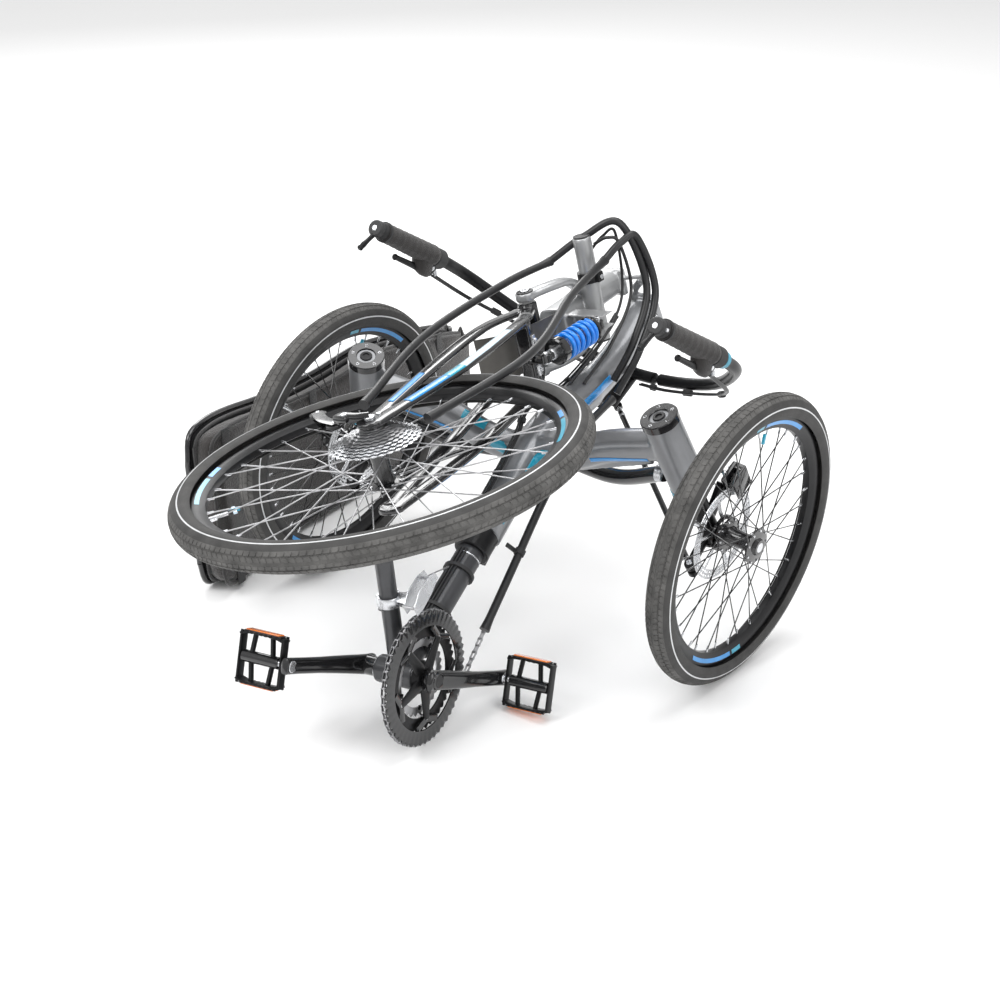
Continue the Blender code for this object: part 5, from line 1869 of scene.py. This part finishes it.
    def tubes(self) -> None:
        """Builds the two rear chain tubes with flared mouths."""
        for name, line in (("top",
                            [(0.050, 1.215, 0.372), (0.062, 0.980, 0.385), (0.075, 0.760, 0.300),
                                    (0.085, 0.610, 0.262)]),
                           ("low",
                            [(0.062, 1.215, 0.240), (0.080, 0.980, 0.160), (0.090, 0.760, 0.150),
                                    (0.092, 0.640, 0.165)])):
            piece = Piece(f"chain_tube_{name}_detail", self.place)
            hose(piece, line)
            piece.finish("rear_section", [f"chain_tube_rear_{name}"])


def hose(piece: Piece, line: list, radius: float = 0.0069) -> None:
    """Adds a chain tube with flared mouths to a piece.

    Args:
        piece: Piece that takes the tube.
        line: Points it passes through.
        radius: Radius of the tube.
    """
    path = curve_through(line, 10)
    count = len(path) - 1
    taper = []
    for k in range(count + 1):
        edge = min(k, count - k)
        taper.append(1.0 + (0.28 if edge == 0 else 0.10 if edge == 1 else 0.0))
    piece.tube(path, radius, CABLE, 18, 0.0, Z, taper=taper)


@dataclass
class FrontTube:
    """Front chain tube under the frame, with its two clips."""

    def build(self) -> None:
        """Builds the tube and clips."""
        piece = Piece("chain_tube_front_detail", STANCE.front())
        line = [(0.045, -0.283, 0.250), (0.045, -0.161, 0.259), (0.045, -0.035, 0.269),
                (0.045, 0.100, 0.262), (0.046, 0.225, 0.212)]
        hose(piece, line)
        for k in (12, 30):
            at = curve_through(line, 10)[k]
            piece.turned([(-0.005, 0.0068), (-0.005, 0.0092), (0.005, 0.0092), (0.005, 0.0068)],
                         PLASTIC,
                         at, Y, 28)
            piece.tube([at - X * 0.007, at - X * 0.020 + Z * 0.016], (0.0040, 0.0022), PLASTIC, 10,
                       0.4)
        piece.finish("frame", ["chain_tube_front"])


# ---------------------------------------------------------------- seat

@dataclass
class Seat:
    """Mesh seat that stands on its edge: a crowned pad on a curved shell."""

    lean: float = radians(3.0)
    cushion: float = 0.052
    shell: float = 0.012
    settle: float = 0.0023
    line: list = field(default_factory=lambda: [
        (-0.484, -0.228, 0.056, 0.200), (-0.487, -0.212, 0.012, 0.292),
        (-0.496, -0.160, 0.000, 0.312), (-0.511, -0.080, 0.004, 0.296),
        (-0.519, 0.010, 0.004, 0.280), (-0.518, 0.100, 0.003, 0.272),
        (-0.511, 0.200, 0.000, 0.276), (-0.504, 0.330, 0.000, 0.283),
        (-0.501, 0.460, 0.002, 0.262), (-0.505, 0.600, 0.012, 0.222),
        (-0.510, 0.6878, 0.034, 0.170)])

    def build(self) -> None:
        """Builds the pad, its piping, the shell and the straps."""
        self.place = STANCE.floor()
        self.up = Vector((-sin(self.lean), 0, cos(self.lean)))
        self.out = Vector((-cos(self.lean), 0, -sin(self.lean)))
        self.pad()
        self.back()

    def section(self, offset: float) -> tuple[list[Vector], list[float]]:
        """Returns centre points and widths at a depth behind the inner face."""
        ground = Z * ((self.cushion + self.shell) * sin(self.lean) - self.settle)
        path, widths = [], []
        for x, y, low, width in self.line:
            path.append(Vector((x, y,
                                0)) + ground + self.up * (low + width / 2) + self.out * offset)
            widths.append(width)
        return path, widths

    def pad(self) -> None:
        """Builds the cushion: a soft box, puffed by a cloth simulation, then piped."""
        centre, widths = self.section(self.cushion / 2)
        smooth = curve_through(centre, 5)
        width_line = [p.x for p in curve_through([(w, 0, 0) for w in widths], 5)]
        piece = Piece("seat_pad", self.place)
        sizes = [w - 0.018 for w in width_line]
        piece.slab(smooth, sizes, self.cushion - 0.013, 0.0155, MESH_CLOTH, self.up, self.out)
        obj = piece.finish("frame", ["seat_cushion"])
        self.puff(obj)
        self.piping(smooth, width_line)

    def puff(self, obj: bpy.types.Object) -> None:
        """Puffs the pad with pressure, with the surface's travel held small.

        Args:
            obj: Cushion to puff.
        """
        apply_modifier(obj, "REMESH", mode="VOXEL", voxel_size=0.0065)
        before = [v.co.copy() for v in obj.data.vertices]
        scene = bpy.context.scene
        scene.frame_start, scene.frame_end = 1, 20
        cloth = obj.modifiers.new("cloth", "CLOTH")
        cloth.settings.use_pressure = True
        cloth.settings.uniform_pressure_force = 4.0
        cloth.settings.quality = 5
        cloth.settings.mass = 0.3
        cloth.settings.tension_stiffness = 30
        cloth.settings.compression_stiffness = 30
        cloth.settings.effector_weights.gravity = 0.0
        cloth.point_cache.frame_start, cloth.point_cache.frame_end = 1, 20
        for index in range(1, 21):
            scene.frame_set(index)
        graph = bpy.context.evaluated_depsgraph_get()
        moved = [v.co.copy() for v in obj.evaluated_get(graph).data.vertices]
        obj.modifiers.remove(cloth)
        scene.frame_set(1)
        most = 0.006
        low = min(p.z for p in before)
        for vert, first, last in zip(obj.data.vertices, before, moved):
            step = last - first
            vert.co = first + step * min(1.0, most / max(step.length, 1e-9))
            vert.co.z = max(vert.co.z, low - 0.001)
        apply_modifier(obj, "SMOOTH", factor=0.5, iterations=3)
        obj.data.materials.clear()
        obj.data.materials.append(MESH_CLOTH.material())
        apply_modifier(obj, "SUBSURF", levels=1, render_levels=1)
        obj.data.shade_smooth()

    def piping(self, path: list[Vector], widths: list[float]) -> None:
        """Builds the piping that runs round both faces of the pad, and its channels.

        Args:
            path: Centre line of the pad.
            widths: Width of the pad at each point.
        """
        piece = Piece("seat_piping", self.place)
        for side in (-1, 1):
            face = self.out * side * (self.cushion / 2 - 0.0088)
            low = [p - self.up * (w / 2 - 0.0116) + face for p, w in zip(path, widths)]
            high = [p + self.up * (w / 2 - 0.0116) + face for p, w in zip(path, widths)]
            loop = low[2:-2] + list(reversed(high[2:-2]))
            piece.tube(curve_through([*loop, loop[0]], 2), 0.0034, PIPING, 8, 0.0, self.out)
        piece.finish("frame", None)
        bands = Piece("seat_straps", self.place)
        for k in (9, 17, 26, 35, 43):
            centre, width = path[k], widths[k]
            face = -self.out * (self.cushion / 2 - 0.0035)
            line = [centre + self.up * (width / 2 - 0.006) * t + face for t in
                    (-1, -0.8, -0.4, 0, 0.4, 0.8, 1)]
            bands.tube(line, (0.0110, 0.0012), WEBBING, 8, 0.7, self.out)
        bands.finish("frame", None)

    def back(self) -> None:
        """Builds the curved shell with a rolled rim and strap buckles."""
        centre, widths = self.section(self.cushion + self.shell / 2)
        smooth = curve_through(centre, 5)
        width_line = [p.x for p in curve_through([(w, 0, 0) for w in widths], 5)]
        piece = Piece("seat_shell_detail", self.place)
        sizes = [w - 0.002 for w in width_line]
        piece.slab(smooth, sizes, self.shell - 0.003, 0.0040, PLASTIC, self.up, self.out)
        low = [p - self.up * (w / 2 - 0.0062) for p, w in zip(smooth, width_line)]
        high = [p + self.up * (w / 2 - 0.0062) for p, w in zip(smooth, width_line)]
        loop = [*low, *reversed(high), low[0]]
        piece.tube(loop, 0.0058, GLOSS, 12, 0.0, self.out)
        for k in (9, 17, 26, 35, 43):
            at = smooth[k] + self.out * (self.shell / 2 - 0.001)
            piece.block(at + self.up * 0.02, (0.0026, 0.013, 0.018), PLASTIC, bevel=0.0015)
            piece.block(at - self.up * 0.05, (0.0016, 0.010, 0.045), WEBBING, bevel=0.001)
        piece.finish("frame", ["seat_shell"])


# ---------------------------------------------------------------- cables

@dataclass
class Cable:
    """One free line that bridges the fold, from the rear section to the frame."""

    name: str
    points: list
    radius: float

    def build(self) -> None:
        path = curve_through(self.points, 12)
        piece = Piece(self.name, Matrix.Identity(4))
        piece.tube(path, self.radius, CABLE, 12, 0.0, Z + X * 0.13)
        obj = piece.finish(None, None)
        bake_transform(obj)


@dataclass
class Cables:
    """All the free lines on the trike."""

    def build(self) -> None:
        """Builds the lines one by one."""
        self.brake_lines()
        self.frame_run()
        self.loops()

    def brake_lines(self) -> None:
        """Builds the brake and gear lines that the bar carries to its middle."""
        for name, place in (("right", same), ("left", flip)):
            low, high = place(STANCE.grip_low), place(STANCE.grip_high)
            clamp = low + (high - low).normalized() * 0.0344
            route = [clamp + Vector((0, -0.022, -0.024)), place((0.286, 0.300, 0.262)),
                     place((0.214, 0.327, 0.186)), place((0.112, 0.329, 0.144)),
                     place((0.050, 0.328, 0.134))]
            piece = Piece(f"brake_line_detail_{name}", STANCE.bar())
            path = curve_through(route, 8)
            piece.tube(path, 0.0026, CABLE, 12)
            piece.tube([p + Vector((0, -0.0045, 0.0045)) for p in path], 0.0022, CABLE, 12)
            for k in (12, 20, 28):
                piece.rod(path[k] - (path[k + 1] - path[k]).normalized() * 0.004, path[k + 1],
                          0.0062,
                          PLASTIC, 14, 0.001)
            piece.finish("handlebar", [f"brake_line_{name}"])

    def frame_run(self) -> None:
        """Builds the gear lines clipped along the main tube and on over the boom."""
        route = [(-0.0335, 0.420, 0.190), (-0.0335, 0.340, 0.202), (-0.0340, 0.228, 0.240),
                 (-0.0340, 0.150, 0.285), (-0.0200, 0.085, 0.3450), (-0.0120, 0.030, 0.3490),
                 (-0.0100, -0.050, 0.3520), (-0.0100, -0.140, 0.3575)]
        piece = Piece("cable_run_detail", STANCE.front())
        path = curve_through(route, 8)
        for shift in (-0.0042, 0.0, 0.0042):
            piece.tube([p + Vector((shift * 0.4, 0,
                                    abs(shift) * 0.25)) + Y.cross(X) * shift for p in path],
                       0.0019, CABLE, 10)
        for k in (6, 16, 26, 36, 48):
            way = (path[k + 1] - path[k]).normalized()
            piece.tube([path[k] - way * 0.004, path[k] + way * 0.004], (0.0034, 0.0075), PLASTIC,
                       14, 0.5,
                       X)
        piece.finish("frame", ["cable_run"])
        boom = Piece("boom_lines", STANCE.boom())
        axis = STANCE.boom_line(-0.4) - STANCE.boom_line(-0.2)
        lift = axis.normalized().cross(X)
        lift = lift if lift.z > 0 else -lift
        for x in (-0.006, 0.0, 0.006):
            line = [STANCE.boom_line(y) + lift * (0.0238 - abs(x) * 0.16) + X * x for y in
                    (-0.200, -0.26, -0.32, -0.38, -0.405)]
            boom.tube(line, 0.0018, CABLE, 10)
        for y in (-0.235, -0.315, -0.385):
            boom.turned([(-0.003, 0.0222), (-0.003, 0.0268), (0.003, 0.0268), (0.003, 0.0222)],
                        PLASTIC,
                        STANCE.boom_line(y), axis.normalized(), 40)
        boom.finish("frame", None)

    def loops(self) -> None:
        """Builds the slack hoses that bridge the open fold."""
        rear, front = STANCE.rear(), STANCE.front()
        ends = [rear @ Vector((0.085, 0.613, 0.2625)), rear @ Vector((0.092, 0.643, 0.1645)),
                rear @ Vector((0.110, 0.598, 0.235)), rear @ Vector((0.095, 0.596, 0.220))]
        feet = [front @ Vector((0.046, 0.243, 0.205)), front @ Vector((0.034, 0.262, 0.214)),
                front @ Vector((0.012, 0.210, 0.266)), front @ Vector((-0.012, 0.190, 0.272))]
        peaks = [(0.098, 0.338, 0.596), (0.072, 0.322, 0.622), (0.078, 0.312, 0.588),
                 (0.060, 0.330, 0.600)]
        sides = [(0.132, 0.350, 0.500), (0.118, 0.342, 0.512), (0.098, 0.322, 0.500),
                 (0.082, 0.318, 0.490)]
        for k, radius in enumerate((0.0068, 0.0068, 0.0030, 0.0026)):
            peak, side = Vector(peaks[k]), Vector(sides[k])
            rise = ends[k].lerp(peak, 0.5) + Z * 0.012
            low = side.lerp(feet[k], 0.55) + X * 0.012
            Cable(f"fold_hose_{k + 1}", [ends[k], rise, peak, side, low, feet[k]], radius).build()


# ---------------------------------------------------------------- studio

@dataclass
class Studio:
    """Floor, lights and camera."""

    place: Point = (1.41637, -2.47047, 1.60063)
    azimuth: float = radians(29.540)
    elevation: float = radians(26.075)
    roll: float = radians(0.079)
    lens: float = 66.585
    tone: float = 0.93

    def build(self) -> None:
        """Builds the whole set."""
        self.floor()
        self.lights()
        self.camera()

    def floor(self) -> None:
        """Builds the pale floor with a far edge out of sight."""
        bm = bmesh.new()
        bmesh.ops.create_grid(bm, x_segments=1, y_segments=1, size=14.0)
        mesh = bpy.data.meshes.new("floor")
        bm.to_mesh(mesh)
        bm.free()
        made = bpy.data.materials.new("floor_white")
        made.use_nodes = True
        shader = made.node_tree.nodes["Principled BSDF"]
        shader.inputs["Base Color"].default_value = (self.tone, self.tone, self.tone, 1)
        shader.inputs["Roughness"].default_value = 0.75
        shader.inputs["Specular IOR Level"].default_value = 0.1
        mesh.materials.append(made)
        floor = bpy.data.objects.new("floor", mesh)
        floor.location.z = -0.0012
        bpy.context.scene.collection.objects.link(floor)

    def lights(self) -> None:
        """Builds a big soft key, a fill, a rim light and a pale world."""
        for name, at, size, power in (("key", (-1.6, -2.6, 3.6), 2.2, 105.0),
                                      ("fill", (3.4, -1.2, 2.2), 2.4, 42.0),
                                      ("top", (0.3, 0.6, 4.2), 3.0, 95.0),
                                      ("rim", (-2.6, 2.8, 2.4), 1.8, 50.0)):
            data = bpy.data.lights.new(name, "AREA")
            data.shape, data.size, data.energy = "SQUARE", size, power
            lamp = bpy.data.objects.new(name, data)
            lamp.location = at
            lamp.rotation_mode = "QUATERNION"
            lamp.rotation_quaternion = (Vector((0, 0, 0.3)) - Vector(at)).to_track_quat("-Z", "Y")
            bpy.context.scene.collection.objects.link(lamp)
        world = bpy.data.worlds.new("studio")
        world.use_nodes = True
        back = world.node_tree.nodes["Background"]
        back.inputs["Color"].default_value = (1.0, 1.0, 1.0, 1)
        back.inputs["Strength"].default_value = 0.74
        bpy.context.scene.world = world
        bpy.context.scene.view_settings.view_transform = "Standard"

    def camera(self) -> None:
        """Builds the camera."""
        data = bpy.data.cameras.new("camera")
        data.lens, data.sensor_width = self.lens, 36.0
        camera = bpy.data.objects.new("camera", data)
        a, e = self.azimuth, self.elevation
        back = Vector((sin(a) * cos(e), -cos(a) * cos(e), sin(e)))
        right = Vector((cos(a), sin(a), 0))
        up = back.cross(right)
        turn = Matrix((right, up, back)).transposed() @ Matrix.Rotation(self.roll, 3, Z)
        camera.matrix_world = Matrix.Translation(self.place) @ turn.to_4x4()
        bpy.context.scene.collection.objects.link(camera)
        bpy.context.scene.camera = camera


# ---------------------------------------------------------------- main


def main() -> None:
    """Builds the finished trike and its set."""
    logging.basicConfig(level=logging.INFO, format="%(message)s")
    for side in (1, -1):
        FrontCorner(side).build()
    FrontFrame().build()
    Boom().build()
    Drive().build()
    Steering().build()
    RearSection().build()
    FrontTube().build()
    Seat().build()
    Cables().build()
    Studio().build()


if __name__ == "__main__":
    main()
